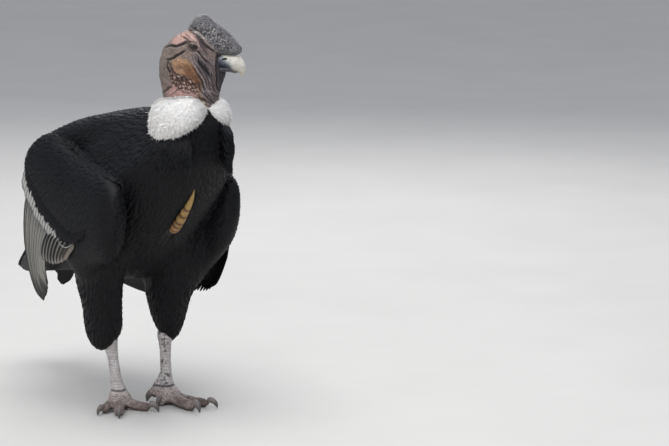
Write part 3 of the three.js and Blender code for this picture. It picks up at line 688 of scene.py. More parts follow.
# across the wrinkles, out of the skin's side, along the wrinkles
slanted = np.stack([0.85 * ahead + 0.53 * up, left, 0.85 * up - 0.53 * ahead], -1)
streaks = noise(slanted / [2.6, 8, 16], 53)
skinTones = coloured(
    (whole, (140, 122, 112)),
    (step(-ahead, 28, 50), (136, 122, 112)),
    (rosy * 0.9, (180, 140, 132)),
    (crown, (206, 168, 156)),
    (crown * step(mottle, 0.1, 0.8) * 0.4, (180, 136, 128)),
    (creased * sideways, (138, 122, 118)),
    (creased * sideways * step(streaks, -0.1, 0.6) * 0.5, (172, 156, 154)),
    # painted shade: the troughs of the parallel creases are coloured dark
    (creased * sideways * (1 - ripple) * 0.8, (62, 56, 66)),
    (violet * 0.75 * sideways, (96, 76, 88)),
    (slate * 0.9 * sideways, (62, 64, 74)),
    (cheek * 0.95 * sideways, (184, 144, 108)),
    (cheek * sideways * step(noise(headPoints / 11, 54), -0.2, 0.5) * 0.6, (162, 114, 76)),
    (burnt * sideways * 0.8, (130, 84, 52)),
    (burnt * sideways * step(ahead, -2, 12) * 0.75, (92, 60, 40)),
    ((cheek + 0.6 * creased) * sideways * step(-streaks, 0.05, 0.7) * 0.35, (96, 72, 60)),
    # painted shade in the sunken gaps between the grains, and painted highlight on their raised tops
    (grains * sideways * (1 - grainTop) * 0.9, (66, 40, 32)),
    (grains * sideways * grainTop * (0.6 + 0.35 * mottle), (216, 182, 168)),
    (amber * sideways * 0.7, (190, 144, 92)),
    (lore * bare, (54, 50, 58)),
    (lore * bare * step(-up, 40, 70) * 0.6, (82, 74, 78)),
    (lore * bare * step(-streaks, 0, 0.6) * 0.5, (32, 30, 38)),
    (step(ahead, 47, 54) * step(-up, 2, 12) * step(up, -44, -30) * bare, (50, 54, 66)),
    (step(-up, 98, 122) * step(ahead, 0, 20), (112, 94, 88)),
    (combMask, (138, 138, 139)),
    (combMask * step(streaks, 0, 0.8) * 0.35, (108, 105, 110)),
    # painted highlight on the raised wart tops, painted shade in the gaps between warts and in the troughs
    # between the comb's rows
    (wartZone * step(wartEdge, 0.16, 0.4) * 0.75, (200, 194, 190)),
    (wartZone * (1 - step(wartEdge, 0.02, 0.2)) * 0.85, (52, 49, 55)),
    (combRows * (1 - np.abs(np.sin(np.pi * rows))) * 0.8, (62, 59, 66)),
    # painted highlight along the ridge of the comb's upper rim
    (combMask * step(-rimGap, -2.2, -0.6) * 0.6, (172, 164, 162)),
    (lip * 0.9, (170, 158, 152)),
    (step(-eyeGap, -11.5, -8.5) * sideways * 0.7, (86, 72, 70)),
)
skinTones = skinTones * (1 + 0.08 * mottle + 0.07 * fine)[:, None]
# painted highlight on the carved ridges and painted shade in the carved grooves of the bare skin
ridgeHighlight = 0.5 * np.clip(ridge, 0, 1) * bare * sideways
skinTones = mixed(skinTones, np.array([214, 194, 186]), ridgeHighlight[:, None])
skinTones *= (1 - 0.72 * np.clip(groove, 0, 1) * bare)[:, None]
# on the nape the wrinkles lie level
nape = step(-ahead, 26, 46)[:, None]
headLie = mixed(slanted, np.stack([up, left, ahead], -1), nape)
headTones = np.clip(skinTones, 6, 250)

print("stage: legs")
legs = {
    "right": {
        "heel": [-57, -38, 168],
        "ankle": [-44, -24, 34],
        "toes": {  # where the claw's point stands, the toe's radius, the claw's length, the arch's lift
            "inner": ([8, 52], 10.5, 25, 0), "middle": ([-88, 66], 11.5, 25, 0),
            "outer": ([-112, 18], 10, 22, 5), "hind": ([-34, -72], 8.5, 20, 0),
        },
    },
    "left": {
        "heel": [61, -22, 168],
        "ankle": [61, -17, 34],
        "toes": {
            "inner": ([24, 12], 10, 18, 0), "middle": ([74, 102], 12, 25, 0),
            "outer": ([126, 80], 10.5, 25, 0), "hind": ([29, -42], 13, 17, 25),
        },
    },
}
foot = {
    "pitch": 1.95,
    "palmRadius": 23.0,
    "palmTop": 43.0,
    "palmAhead": 7.0,
    "soleSink": 1.6,
    "toeSizes": [[0.25, 0.25], [1.25, 1.3], [1.05, 1.1], [0.92, 1], [1.02, 1.02], [0.86, 0.95], [0.9, 0.98],
                 [0.72, 0.8], [0.1, 0.1]],
    "clawSizes": [[0.06, 0.06], [0.46, 0.58], [0.44, 0.53], [0.32, 0.39], [0.05, 0.05]],
    "shankSizes": [[2, 2], [15, 17], [13, 15.5], [11, 13.5], [10.8, 13], [11.5, 13], [14, 14], [15, 15],
                   [13, 13], [1, 1]],
    "fold": 40.0,  # height of the crease across the ankle
    "plate": 5.2,  # length of a toe's scale
}
upwards = np.array([0.0, 0, 1])


# an upright bun under the ankle
def palmAt(ankle):
    def where(angle, t):
        wide = foot["palmRadius"] * squared(np.sin(np.pi * t), 0.8)
        height = foot["palmTop"] / 2 * (1 + np.cos(np.pi * t)) - foot["soleSink"]
        forward = ankle[1] + foot["palmAhead"] + wide * np.sin(angle)
        return spot(ankle[0] + wide * np.cos(angle), forward, height)
    return where


# a toe's middle line: from the ankle to 0.7 of a claw short of the tip, falling as it goes
def toeRoute(ankle, tip, radius, claw, lift):
    run = np.array(tip, float) - ankle[:2]
    reach = run * (1 - 0.7 * claw / np.linalg.norm(run))
    low = radius - foot["soleSink"]
    heights = [(0.02, foot["palmTop"] / 2 + lift), (0.35, low + 4 + lift), (0.7, low + 0.6 * lift), (1, low)]
    return [spot(*(ankle[:2] + reach * share), height) for share, height in heights]


# a claw's middle line: from behind its root over a hump, and down to the ground at the tip
def clawRoute(ankle, tip, radius, claw):
    run = unit(np.array(tip, float) - ankle[:2])
    places = [(1.05, 1.05), (0.6, 1.55), (0.2, 1.05), (0, 0.12)]
    return [spot(tip[0] - run[0] * back * claw, tip[1] - run[1] * back * claw, height * radius)
            for back, height in places]


legParts = []
for leg in legs.values():
    heel, ankle = np.array(leg["heel"], float), np.array(leg["ankle"], float)
    down = [heel] + [np.array([*mixed(heel, ankle, share)[:2], height])
                     for share, height in ((0.3, 120), (0.65, 75), (1, ankle[2]), (1.04, 16))]
    shank = tubeAlong([spot(*p) for p in down], foot["shankSizes"], np.array([0, 1, 0.2]))
    low = np.array([min(t[0][0] for t in leg["toes"].values()) - 16, 0, -8])
    high = np.array([max(t[0][0] for t in leg["toes"].values()) + 16, 0, 182])
    low[1] = -max(t[0][1] for t in leg["toes"].values()) - backShift - 16
    high[1] = -min(t[0][1] for t in leg["toes"].values()) - backShift + 16
    field = Field(low, high, foot["pitch"], band=8)
    field.add(closedGrid(shank, 48, 90))
    field.add(closedGrid(palmAt(ankle), 48, 30), 9)
    for tip, radius, claw, lift in leg["toes"].values():
        sizes = np.array(foot["toeSizes"]) * radius
        field.add(closedGrid(tubeAlong(toeRoute(ankle, tip, radius, claw, lift), sizes, upwards), 32, 60), 7)
    points, quads = field.surface(-0.3)
    _, slope = field.at(points)
    normals = unit(slope)

    # plates across the top of each toe, scutes down the shank's front, pads beneath, fine pebbles elsewhere
    plates, pads, gaps = np.zeros(len(points)), np.zeros(len(points)), np.full(len(points), 99.0)
    for tip, radius, claw, lift in leg["toes"].values():
        line = flow(toeRoute(ankle, tip, radius, claw, lift), np.linspace(0, 1, 16))
        gap, share = toLine(points, line)
        length = np.linalg.norm(np.diff(line, axis=0), axis=1).sum()
        closer = gap < gaps
        along = share * length
        groove = np.abs(np.cos(np.pi * along / foot["plate"])) ** 8
        plates = np.where(closer, groove * step(share, 0.18, 0.3), plates)
        pads = np.where(closer, np.abs(np.sin(np.pi * along / 23)) ** 0.6, pads)
        gaps = np.minimum(gaps, gap)
    onToe = step(-points[:, 2], -44, -30)
    plates = plates * step(normals[:, 2], 0.05, 0.5) * onToe
    shankFront = (1 - onToe) * step(-normals[:, 1], 0.1, 0.6)
    scutes = shankFront * np.abs(np.cos(np.pi * points[:, 2] / 6.4)) ** 8
    _, scaleEdge = pebbles(points / 3.4, 61)
    pebbled = (1 - step(normals[:, 2], 0.05, 0.5) * onToe) * (1 - shankFront * 0.8)
    lift = -0.75 * plates - 0.6 * scutes + pebbled * (0.55 * step(scaleEdge, 0.05, 0.4) - 0.3)
    lift += onToe * step(-normals[:, 2], 0, 0.5) * (0.8 * pads - 0.6) + 0.35 * noise(points / 5, 62)
    fromAnkle = np.hypot(points[:, 0] - ankle[0], forwardOf(points) - ankle[1])
    rise = points[:, 2] - foot["fold"] - 0.06 * (points[:, 0] - ankle[0]) - 1.2 * noise(points / 9, 66)
    folded = step(-fromAnkle, -34, -26) * step(-normals[:, 1], -0.3, 0.1)
    crease = folded * np.exp(-((rise / 1.3) ** 2))
    lift += 1.3 * folded * np.exp(-(((rise - 4.2) / 2.6) ** 2)) - 1.7 * crease
    points = points + normals * lift[:, None]
    points[:, 2] = np.maximum(points[:, 2], 0.0)

    whole = np.ones(len(points))
    mottle = noise(points / 7, 63)
    flecks = step(noise(points / 3.1, 64) + 0.25 * noise(points / 11, 65), 0.28, 0.5)
    innerShank = (1 - onToe) * step(points[:, 0], 0, 9) * step(-points[:, 0], -68, -60)
    tones = coloured(
        (whole, (244, 238, 234)),
        (step(-points[:, 2], -50, -24), (234, 220, 212)),
        (onToe * step(fromAnkle, 24, 62), (184, 166, 157)),
        (onToe * step(fromAnkle, 16, 40) * step(mottle, -0.1, 0.6) * 0.6, (112, 98, 92)),
        (onToe * step(fromAnkle, 30, 80) * step(noise(points / 13, 67), 0, 0.5) * 0.5, (96, 86, 84)),
        (innerShank * flecks * 0.75, (84, 78, 78)),  # of the left leg only
        (onToe * flecks * 0.4, (112, 98, 92)),
        (plates * 0.7, (92, 82, 78)),
        (scutes * 0.3, (150, 144, 142)),
        (pebbled * (1 - step(scaleEdge, 0.03, 0.25)) * 0.3, (108, 98, 95)),
        # painted shade in the fold across the ankle
        (crease * 0.85, (70, 62, 62)),
        # painted shade on the undersides of the toes, chosen by faces turned downwards
        (onToe * step(-normals[:, 2], 0.1, 0.7), (110, 98, 92)),
    )
    legParts.append((points, quads, np.clip(tones * (1 + 0.09 * mottle)[:, None], 6, 250), points))

print("stage: skin")


# the crop's bare keel: a slim rolled strip of skin between the breast feathers, with a few folds across it
keel = {
    "route": [(-1, 228, 478), (-1, 214, 455), (-2, 192, 430), (-3, 166, 404), (-3, 146, 388), (-3, 134, 380)],
    "sizes": [[0.5, 0.5], [3.4, 5], [6.4, 7], [9, 8.5], [10.2, 9], [9.6, 8.5], [1, 1]],
    "folds": [0.36, 0.47, 0.58, 0.66, 0.77, 0.88],
    "around": 36,
    "rings": 110,
}


# the keel: a tube down the breast, a fifth thinner at each fold, with nine slight flutes round it
def keelAt(angle, t):
    tube = tubeAlong([spot(*p) for p in keel["route"]], keel["sizes"], np.array([0.0, -0.7, -0.7]))
    middle = tubeAlong([spot(*p) for p in keel["route"]], [[0.1, 0.1]] * 3, np.array([0.0, -0.7, -0.7]))
    centre = middle(angle, t)
    dip = sum(np.exp(-(((t - place - 0.012 * np.cos(angle)) / 0.012) ** 2)) for place in keel["folds"])
    return centre + (tube(angle, t) - centre) * (1 - 0.2 * dip + 0.02 * np.sin(9 * angle))[..., None]


keelPoints, keelQuads, keelFans = closedGrid(keelAt, keel["around"], keel["rings"])
t = np.concatenate([np.repeat(np.linspace(0, 1, keel["rings"] + 1)[1:-1], keel["around"]), [0, 1]])
dip = sum(np.exp(-(((t - place) / 0.018) ** 2)) for place in keel["folds"])
# the folds across the keel are coloured dark: painted shade in their creases
keelTones = coloured((np.ones(len(t)), (206, 170, 104)), (step(t, 0.25, 0.9), (184, 142, 92)),
                     (step(t, 0.75, 1.0), (150, 118, 92)), (dip * 0.75, (92, 58, 34)))
keelTones = keelTones * (1 + 0.05 * noise(keelPoints / 4, 71) - 0.05 * noise(keelPoints / 1.6, 72))[:, None]

# lids: rings that hug the eyeball round an almond opening and sink under the skin
lids = {
    "opening": (7.3, 4.9),  # half length and half height
    "tilt": np.radians(-24),
    "shift": (0.2, -0.2),
    "rows": [  # share of the way from the opening to the outer edge, height over the eyeball
        (0.0, -0.2), (0.03, 0.4), (0.1, 0.95), (0.2, 1.05), (0.3, 0.7), (0.38, 0.5), (0.48, 0.85),
        (0.6, 1.0), (0.75, 0.6), (0.9, 0.0), (1.0, -0.8),
    ],
    "around": 72,
    "rings": 33,
}


# both lids in one: rings from the almond opening out over the eyeball, as high over it as their row says
def lidRing(side):
    around, rings = lids["around"], lids["rings"]
    rows = flow(lids["rows"], np.linspace(0, 1, rings + 1))
    angle = np.arange(around) * 2 * np.pi / around
    tilt = lids["tilt"]
    a, b = lids["opening"]
    b = b * np.where(np.sin(angle) > 0, 0.92, 1.0)
    x, z = a * squared(np.cos(angle), 1.15), b * squared(np.sin(angle), 0.9)
    edgeX = x * np.cos(tilt) - z * np.sin(tilt) + lids["shift"][0]
    edgeZ = x * np.sin(tilt) + z * np.cos(tilt) + lids["shift"][1]
    bearing = np.arctan2(edgeZ, edgeX)
    inner = np.arcsin(np.hypot(edgeX, edgeZ) / head["eyeRadius"])
    polar = mixed(inner[None], np.radians(88), rows[:, :1])
    ripple = 0.16 * np.sin(13 * bearing + 2) * step(rows[:, :1], 0.3, 0.5)
    radius = head["eyeRadius"] + rows[:, 1:] + ripple
    points = np.stack([radius * np.sin(polar) * np.cos(bearing), side * radius * np.cos(polar),
                       radius * np.sin(polar) * np.sin(bearing)], -1)
    points[..., 1:] += [side * head["eyeSide"], head["eyeUp"]]
    low = np.arange(rings * around).reshape(rings, around)
    beside = np.roll(low, -1, axis=1)
    quads = np.stack([low, beside, beside + around, low + around], -1).reshape(-1, 4)
    tone = coloured((np.ones(points[..., 0].size), (158, 142, 134)),
                    (np.repeat(step(-rows[:, 0], -0.12, -0.03), around), (66, 50, 46)),
                    # painted shade in the crease between the two rolls of the lids
                    (np.repeat(np.exp(-(((rows[:, 0] - 0.38) / 0.06) ** 2)), around) * 0.75, (60, 50, 50)))
    lie = np.stack([polar, 0 * polar, bearing + 0 * polar], -1).reshape(-1, 3) * head["eyeRadius"]
    return onHead(points).reshape(-1, 3), quads if side < 0 else quads[:, ::-1], tone, lie


parts = [(bodyPoints, bodyQuads, np.full((len(bodyPoints), 3), 20.0), bodyPoints),
         (onHead(headPoints), headQuads, headTones, headLie)]
parts += legParts + [(keelPoints, keelQuads, keelTones, keelPoints), lidRing(-1), lidRing(1)]
offsets = np.cumsum([0] + [len(p[0]) for p in parts])
keelOffset = offsets[len(parts) - 3]
skin = meshOf("skin", np.vstack([p[0] for p in parts]),
              [np.vstack([p[1] + offset for p, offset in zip(parts, offsets)]), keelFans + keelOffset])
paint(skin, "tone", tint(np.vstack([p[2] for p in parts])))
paint(skin, "lie", np.vstack([p[3] for p in parts]) * mm)
print("  skin", len(skin.data.polygons), "faces")

leather = Finish("skin")
tone, lie = leather.attribute("tone"), leather.attribute("lie")
pores = leather.speckle(900.0, 3.0)
blotch = leather.speckle(140.0, 4.0)
wrinkle = leather.cells(1.0, leather.stretched((420.0, 300.0, 130.0), lie))
hairline = leather.speckle(1.0, 4.0, leather.stretched((900.0, 500.0, 160.0), lie))
shade = leather.tinged(tone, blotch, (206, 204, 206))
# painted shade: the wrinkle grooves, low in the bump, are darkened in the colour
shade = leather.blend(wrinkle.ramp(0.0, 0.12), leather.blend(0.62, tint(30, 24, 24), shade), shade)
shade = leather.blend(hairline.ramp(0.62, 0.4), leather.blend(0.25, shade, tint(40, 30, 30)), shade)
relief = wrinkle.ramp(0.0, 0.25) * 0.7 + hairline * 0.5 + pores * 0.3
skin.data.materials.append(leather.close({
    "Base Color": shade, "Roughness": blotch * 0.25 + 0.45, "Specular IOR Level": 0.4,
    "Normal": leather.bump(relief, 0.0009, 0.9),
}))

print("stage: eyes, bill and claws")


# an eyeball as rings round its looking direction, the cornea swelling a little
def eyeAt(side):
    def where(angle, t):
        polar = np.pi * t
        swell = head["eyeRadius"] + 0.5 * np.exp(-((polar / 0.5) ** 2))
        out = side * (swell * np.cos(polar) + head["eyeSide"])
        return onHead(np.stack([swell * np.sin(polar) * np.cos(angle), out,
                                swell * np.sin(polar) * np.sin(angle) + head["eyeUp"]], -1))
    return where


eyeAround, eyeRings = 48, 40
glass = Finish("eye")
eyeShade = glass.blend(glass.speckle(1500.0), glass.attribute("tone"), tint(12, 8, 8))
glass.close({
    "Base Color": eyeShade, "Roughness": 0.12, "Coat Weight": 0.5, "Coat Roughness": 0.03, "IOR": 1.33,
})
for side, name in ((-1, "right"), (1, "left")):
    points, quads, fans = closedGrid(eyeAt(side), eyeAround, eyeRings)
    if side > 0:
        quads, fans = quads[:, ::-1], fans[:, ::-1]
    fromPupil = np.repeat(np.linspace(0, np.pi, eyeRings + 1)[1:-1], eyeAround)
    polar = np.degrees(np.concatenate([fromPupil, [0, np.pi]]))
    tones = coloured((np.ones(len(polar)), (5, 5, 6)), (step(polar, 20, 23), (70, 44, 24)),
                     (step(polar, 34, 40), (16, 11, 10)))
    eye = meshOf("eye_glass_" + name, points, [quads, fans])
    paint(eye, "tone", tint(tones))
    eye.data.materials.append(glass.material)
    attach(eye, "root")
    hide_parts("eye_" + name)

bill = {  # ahead, up of the middle, half height, half width, lean of the section
    "upper": [
        [43, -27, 1, 1, 0], [47, -27.5, 10, 12, 0], [60, -27.2, 11.4, 13, 0], [73, -29.3, 13.2, 12, 0.15],
        [84, -33, 15, 10.5, 0.4], [91, -39, 11.4, 8.8, 0.85], [95.5, -47.5, 6.8, 6, 1.3],
        [94.9, -54, 2.7, 3, 1.55], [94.4, -60.3, 0.5, 0.5, 1.6],
    ],
    "lower": [
        [46, -44, 1, 1, 0], [50, -44, 5.5, 10.5, 0], [60, -44, 5.5, 10, 0], [72, -45, 5, 8.8, 0.1],
        [82, -48, 4, 6.5, 0.2], [90, -50.8, 0.8, 1, 0.2],
    ],
    "nostril": (61.0, -23.5, 5.0, 2.2),  # ahead, up, half length, half height
}


# sections across the bill, ridged above and flattened at the sides
def billAt(rows, ridge):
    def where(angle, t):
        ahead, up, halfHigh, halfWide, lean = np.moveaxis(flow(rows, t), -1, 0)
        rise = halfHigh * np.cos(angle)
        wide = halfWide * squared(np.sin(angle), 0.8) * (1 - ridge * 0.16 * np.maximum(np.cos(angle), 0) ** 2)
        wide = wide * (1 - 0.12 * ridge * np.exp(-(((np.cos(angle) + 0.72) / 0.2) ** 2)))
        return np.stack([ahead + rise * np.sin(lean), wide, up + rise * np.cos(lean)], -1)
    return where


horn = Finish("horn")
along = horn.speckle(60.0, 4.0, horn.stretched((1.0, 1.0, 3.0)))
grainy = horn.speckle(700.0, 2.0)
hornShade = horn.tinged(horn.attribute("tone"), along, (214, 208, 196))
horn.close({
    "Base Color": hornShade, "Roughness": along * 0.2 + 0.28, "Coat Weight": 0.15, "Coat Roughness": 0.3,
    "Normal": horn.bump(along * 0.6 + grainy * 0.25, 0.0005, 0.5),
})
for name, ridge in (("upper", 1.0), ("lower", 0.0)):
    points, quads, fans = closedGrid(billAt(bill[name], ridge), 72, 110)
    ahead, left, up = points.T
    nose = bill["nostril"]
    hole = np.hypot((ahead - nose[0]) / nose[2], (up - nose[1] - 0.15 * (ahead - nose[0])) / nose[3])
    sunk = step(-hole, -1.25, -0.6) * (np.abs(left) > 4) * ridge
    rim = np.exp(-(((hole - 1.5) / 0.35) ** 2)) * (np.abs(left) > 4) * ridge
    points[:, 1] -= np.sign(left) * (3.4 * sunk - 0.5 * rim)
    hornTone = noise(points / 7, 81)
    streak = noise(np.stack([ahead / 9, left / 3, up / 2.6], -1), 82)
    back = step(-ahead - 2.0 * hornTone - 4.0 * streak - 0.8 * (up + 28), -70, -57)
    tones = coloured((np.ones(len(points)), (214, 212, 204)),
                     (step(-up, 46, 58) * step(ahead, 86, 96), (196, 182, 162)),
                     (step(streak, 0.1, 0.8) * 0.4, (176, 180, 182)),
                     (step(up, -26, -18) * step(-streak, 0, 0.6) * 0.6, (150, 156, 164)),
                     (back, (100, 110, 124)), (back * step(streak, -0.2, 0.5) * 0.7, (52, 58, 70)),
                     # painted shade: the nostril's shallow dent is coloured near black
                     (back * step(-ahead, -58, -50), (50, 54, 64)), (sunk, (14, 12, 14)))
    if not ridge:
        tones = coloured((np.ones(len(points)), (182, 172, 158)), (back, (58, 58, 66)))
    tones = tones * (1 + 0.07 * hornTone)[:, None]
    piece = meshOf("bill_horn_" + name, onHead(points), [quads, fans])
    paint(piece, "tone", tint(np.clip(tones, 4, 250)))
    piece.data.materials.append(horn.material)
    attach(piece, "root")
    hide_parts("bill_" + name)

clawAround, clawRings = 28, 44
for side, leg in legs.items():
    points, quads, fans, tones = [], [], [], []
    for tip, radius, claw, lift in leg["toes"].values():
        route = clawRoute(np.array(leg["ankle"], float), tip, radius, claw)
        sizes = np.array(foot["clawSizes"]) * radius
        grid = closedGrid(tubeAlong(route, sizes, upwards), clawAround, clawRings)
        count = sum(len(p) for p in points)
        share = np.concatenate([np.repeat(np.linspace(0, 1, clawRings + 1)[1:-1], clawAround), [0, 1]])
        points.append(grid[0])
        quads.append(grid[1] + count)
        fans.append(grid[2] + count)
        tones.append(coloured((np.ones(len(share)), (132, 125, 123)), (step(share, 0.3, 0.9), (84, 79, 80))))
    points = np.vstack(points)
    points[:, 2] = np.maximum(points[:, 2], 0.05)
    claws = meshOf("claws_" + side, points, [np.vstack(quads), np.vstack(fans)])
    paint(claws, "tone", tint(np.vstack(tones)))
    claws.data.materials.append(horn.material)
    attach(claws, "root")
    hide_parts(*["claw_" + toe + "_" + side for toe in leg["toes"]])

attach(skin, "root")
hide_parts("head", "comb", "neck", "trunk", "wing_right", "wing_left", "thigh_right", "thigh_left",
            "shank_right", "shank_left", "foot_right", "foot_left")

print("stage: coat")


# roots in staggered rows over a closed shape, as feathers grow: even steps along it and round each ring
def rowsOver(where, gapAlong, gapAcross, stray=0.22):
    angle = np.linspace(0, 2 * np.pi, 145)
    t = np.linspace(0, 1, 241)
    rings = where(angle[None], t[:, None] + 0 * angle)
    climb = np.concatenate([[0], np.cumsum(np.linalg.norm(np.diff(rings, axis=0), axis=-1).max(1))])
    places = []
    for k, level in enumerate(np.arange(gapAlong / 2, climb[-1], gapAlong)):
        at = np.interp(level, climb, t)
        ring = where(angle, np.full(len(angle), at))
        girth = np.concatenate([[0], np.cumsum(np.linalg.norm(np.diff(ring, axis=0), axis=-1))])
        count = max(3, int(girth[-1] / gapAcross))
        share = (np.arange(count) + 0.5 * (k % 2) + stray * dice.uniform(-1, 1, count)) / count
        down = at + stray * gapAlong / climb[-1] * dice.uniform(-1, 1, count)
        places.append(np.stack([np.interp(share % 1 * girth[-1], girth, angle), np.clip(down, 0, 1)], -1))
    places = np.vstack(places)
    return where(places[:, 0], places[:, 1])


# spines over the body: each starts under the coat and runs along the lie, rising to its tip's height
def spinesOver(field, roots, lie, length, rise, steps, swirl=0.1):
    p = field.settle(roots, -coatDepth)
    own = dice.normal(0, swirl, p.shape)
    points, normals = [p], [unit(field.at(p)[1])]
    for k in range(1, steps + 1):
        run = unit(lie(p, normals[-1])) + own
        run = unit(run - (run * normals[-1]).sum(-1, keepdims=True) * normals[-1])
        height = mixed(-coatDepth, rise, (k / steps) ** 0.75)
        p = field.settle(p + run * (length / steps)[:, None], height, 1)
        points.append(p)
        normals.append(unit(field.at(p)[1]))
    return np.stack(points, 1), np.stack(normals, 1)


# vanes along spines: columns from edge to edge, rows from root to tip, edges bent down by the cup and the tip
# frayed column by column; each gets a tone, and a small patch of the coat's map where its root stands
def vanes(name, spine, normal, width, outline, cup, tones, places, columns=3, fray=0.0, tilt=0.0):
    count, rows = spine.shape[:2]
    ahead = unit(np.gradient(spine, axis=1))
    side = unit(np.cross(ahead, normal))
    above = np.cross(side, ahead)
    across = np.linspace(-1, 1, columns)
    reach = width[:, None, None] / 2 * np.asarray(outline)[..., :, None] * across
    bend = -cup * np.abs(across) ** 2 * width[:, None, None] / 2 + tilt * reach
    points = spine[:, :, None] + side[:, :, None] * reach[..., None] + above[:, :, None] * bend[..., None]
    if fray:
        length = np.linalg.norm(np.diff(spine, axis=1), axis=-1).sum(1)
        slip = dice.uniform(-1, 0.25, (count, columns)) * fray * length[:, None]
        ease = np.linspace(0, 1, rows) ** 3
        points += ahead[:, :, None] * (slip[:, None] * ease[None, :, None])[..., None]
    low = np.arange(rows * columns).reshape(rows, columns)
    quads = np.stack([low[:-1, :-1], low[:-1, 1:], low[1:, 1:], low[1:, :-1]], -1).reshape(-1, 4)
    quads = (quads[None] + (np.arange(count) * rows * columns)[:, None, None]).reshape(-1, 4)
    piece = meshOf(name, points.reshape(-1, 3), [quads])
    paint(piece, "tone", tint(np.broadcast_to(tones, (count, rows, columns, 3)).reshape(-1, 3)))
    along = np.linspace(0, 1, rows)
    patch = np.stack(np.broadcast_arrays(across[None] / 2, along[:, None] - 0.5), -1)
    bake = np.clip(places, 0.004, 0.996)[:, None, None] + 0.003 * patch
    vane = np.stack(np.broadcast_arrays(across[None] / 2 + 0.5, along[:, None]), -1)
    vane = np.broadcast_to(vane, bake.shape)
    own = dice.uniform(0, 1, (count, 1, 1, 2)) * [0, 7.0]
    for mapName, values in (("OFBake", bake), ("vane", vane + own)):
        layer = piece.data.uv_layers.new(name=mapName)
        corners = np.empty(len(piece.data.loops), np.int32)
        piece.data.loops.foreach_get("vertex_index", corners)
        layer.data.foreach_set("uv", values.reshape(-1, 2)[corners].astype(np.float32).ravel())
    return piece


# the place of a point on an unwrap of the body: round its long axis, and along it
def roundBody(p):
    turn = np.arctan2(p[:, 0], p[:, 2] - 450) / (2 * np.pi) + 0.5
    return np.stack([turn, (p[:, 1] + 380) / 660], -1)


# the same on a thigh, round its upright middle line
def roundLeg(p, rows):
    middle = np.array(rows, float)[:, :3].mean(0)
    turn = np.arctan2(p[:, 0] - middle[0], forwardOf(p) - middle[1]) / (2 * np.pi) + 0.5
    return np.stack([turn, (p[:, 2] - 100) / 320], -1)


# black feather: fine barbs slanting off the shaft, a faint blue gloss on the upper side from the shader's
# sheen, and blue painted sheen tinted into its colour in cloudy patches
def featherFinish(name, gloss, barbs):
    finish = Finish(name)
    vane = finish.node("ShaderNodeUVMap", {"uv_map": "vane"})
    stretched = finish.stretched((barbs, 3.0, 1.0), vane)
    streak = finish.speckle(6.0, 3.0, stretched)
    cloud = finish.speckle(45.0, 3.0)
    shade = finish.tinged(finish.attribute("tone"), streak, (150, 150, 156))
    # blue painted sheen: the feather's colour tinted blue, laid on in cloudy patches
    blueSheenPaint = finish.blend(1.0, shade, tint(226, 234, 255), "MULTIPLY")
    shade = finish.blend(cloud.ramp(0.35, 0.75) * 0.35, shade, blueSheenPaint)
    finish.close({
        "Base Color": shade, "Roughness": streak * 0.22 + gloss, "Specular IOR Level": 0.2,
        "Sheen Weight": 0.02, "Sheen Roughness": 0.35, "Sheen Tint": np.array([0.55, 0.65, 0.9]),
        "Normal": finish.bump(streak, 0.0009, 0.7),
    })
    return finish.material


sleek = featherFinish("plumage", 0.42, 1.6)


def coatPiece(piece, material, slot, *nodes):
    piece.data.materials.append(material)
    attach(piece, "root")
    if nodes:
        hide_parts(*nodes)


outlineRound = [0.45, 0.8, 1.0, 1.0, 0.84, 0.5, 0.06]
outlineLong = [0.5, 0.85, 1.0, 0.95, 0.78, 0.5, 0.1]


# which way feathers lie on the trunk: back and a little down above, steeply down on the breast, level
# back under the belly; y is backwards
def runOnTrunk(p, normal):
    forward = forwardOf(p)
    front = step(forward, 70, 190)[:, None]
    low = step(-p[:, 2], -430, -330)[:, None] * (1 - front)
    side = np.sign(p[:, :1])
    back = np.array([0, 1, -0.42]) + side * [0.12, 0, 0]
    breast = np.array([0, 0.42, -1.0]) + side * [0.1, 0, 0]
    return mixed(mixed(back, breast, front), np.array([0, 1.0, 0.12]), low)


# on a wing: back, down and outwards, steeper towards the rear
def runOnWing(p, normal):
    forward = forwardOf(p)
    rear = step(-forward, 40, 190)[:, None]
    outside = np.sign(p[:, :1]) * [0.55, 0, 0]
    return mixed(np.array([0, 0.82, -0.72]), np.array([0, 0.62, -0.95]), rear) + outside


# on a thigh: down, standing off a little
def runOnLeg(p, normal):
    return np.broadcast_to(np.array([0, 0.16, -1.0]), p.shape) + 0.12 * normal * [1, 1, 0]


# roots of one shape that lie on the outside of the whole body
def outerRoots(name, gapAlong, gapAcross):
    roots = rowsOver(shapes[name], gapAlong, gapAcross)
    gap, _ = body.at(roots)
    return roots[gap > sunken]


keelLine = np.array([spot(*p) for p in keel["route"]])
keelClear = 12.0  # no feather is rooted nearer than this to the bare keel
neckFoot = {"side": 2, "forward": 206, "radius": 44, "height": 560}  # none is rooted inside the neck either
breastStart = 70.0  # how far forward the back's feathers end and the breast's begin
sunken = -9.0  # a root deeper in the body than this lies inside another shape


# tones of black feathers: paler by the square of the way to the edge and the cube of the way to the tip
def blackTones(count, rows, columns, base=(9, 9, 12), edge=(15, 16, 21)):
    own = dice.normal(1, 0.13, (count, 1, 1, 1))
    rim = np.abs(np.linspace(-1, 1, columns))[None, None, :, None] ** 2
    tip = np.linspace(0, 1, rows)[None, :, None, None] ** 3
    return np.clip(mixed(np.array(base, float), np.array(edge, float), np.maximum(rim, tip)) * own, 4, 90)


coats = {  # rows apart, feathers apart, length, width, tip height, cup, fray, columns
    "trunk": (9.0, 9.5, 34.0, 15.0, 1.6, 0.22, 0.10, 5),
    "wing": (8.5, 9.0, 27.0, 13.0, 0.8, 0.2, 0.05, 3),
    "thigh": (8.0, 8.5, 38.0, 12.0, 2.2, 0.2, 0.16, 5),
}


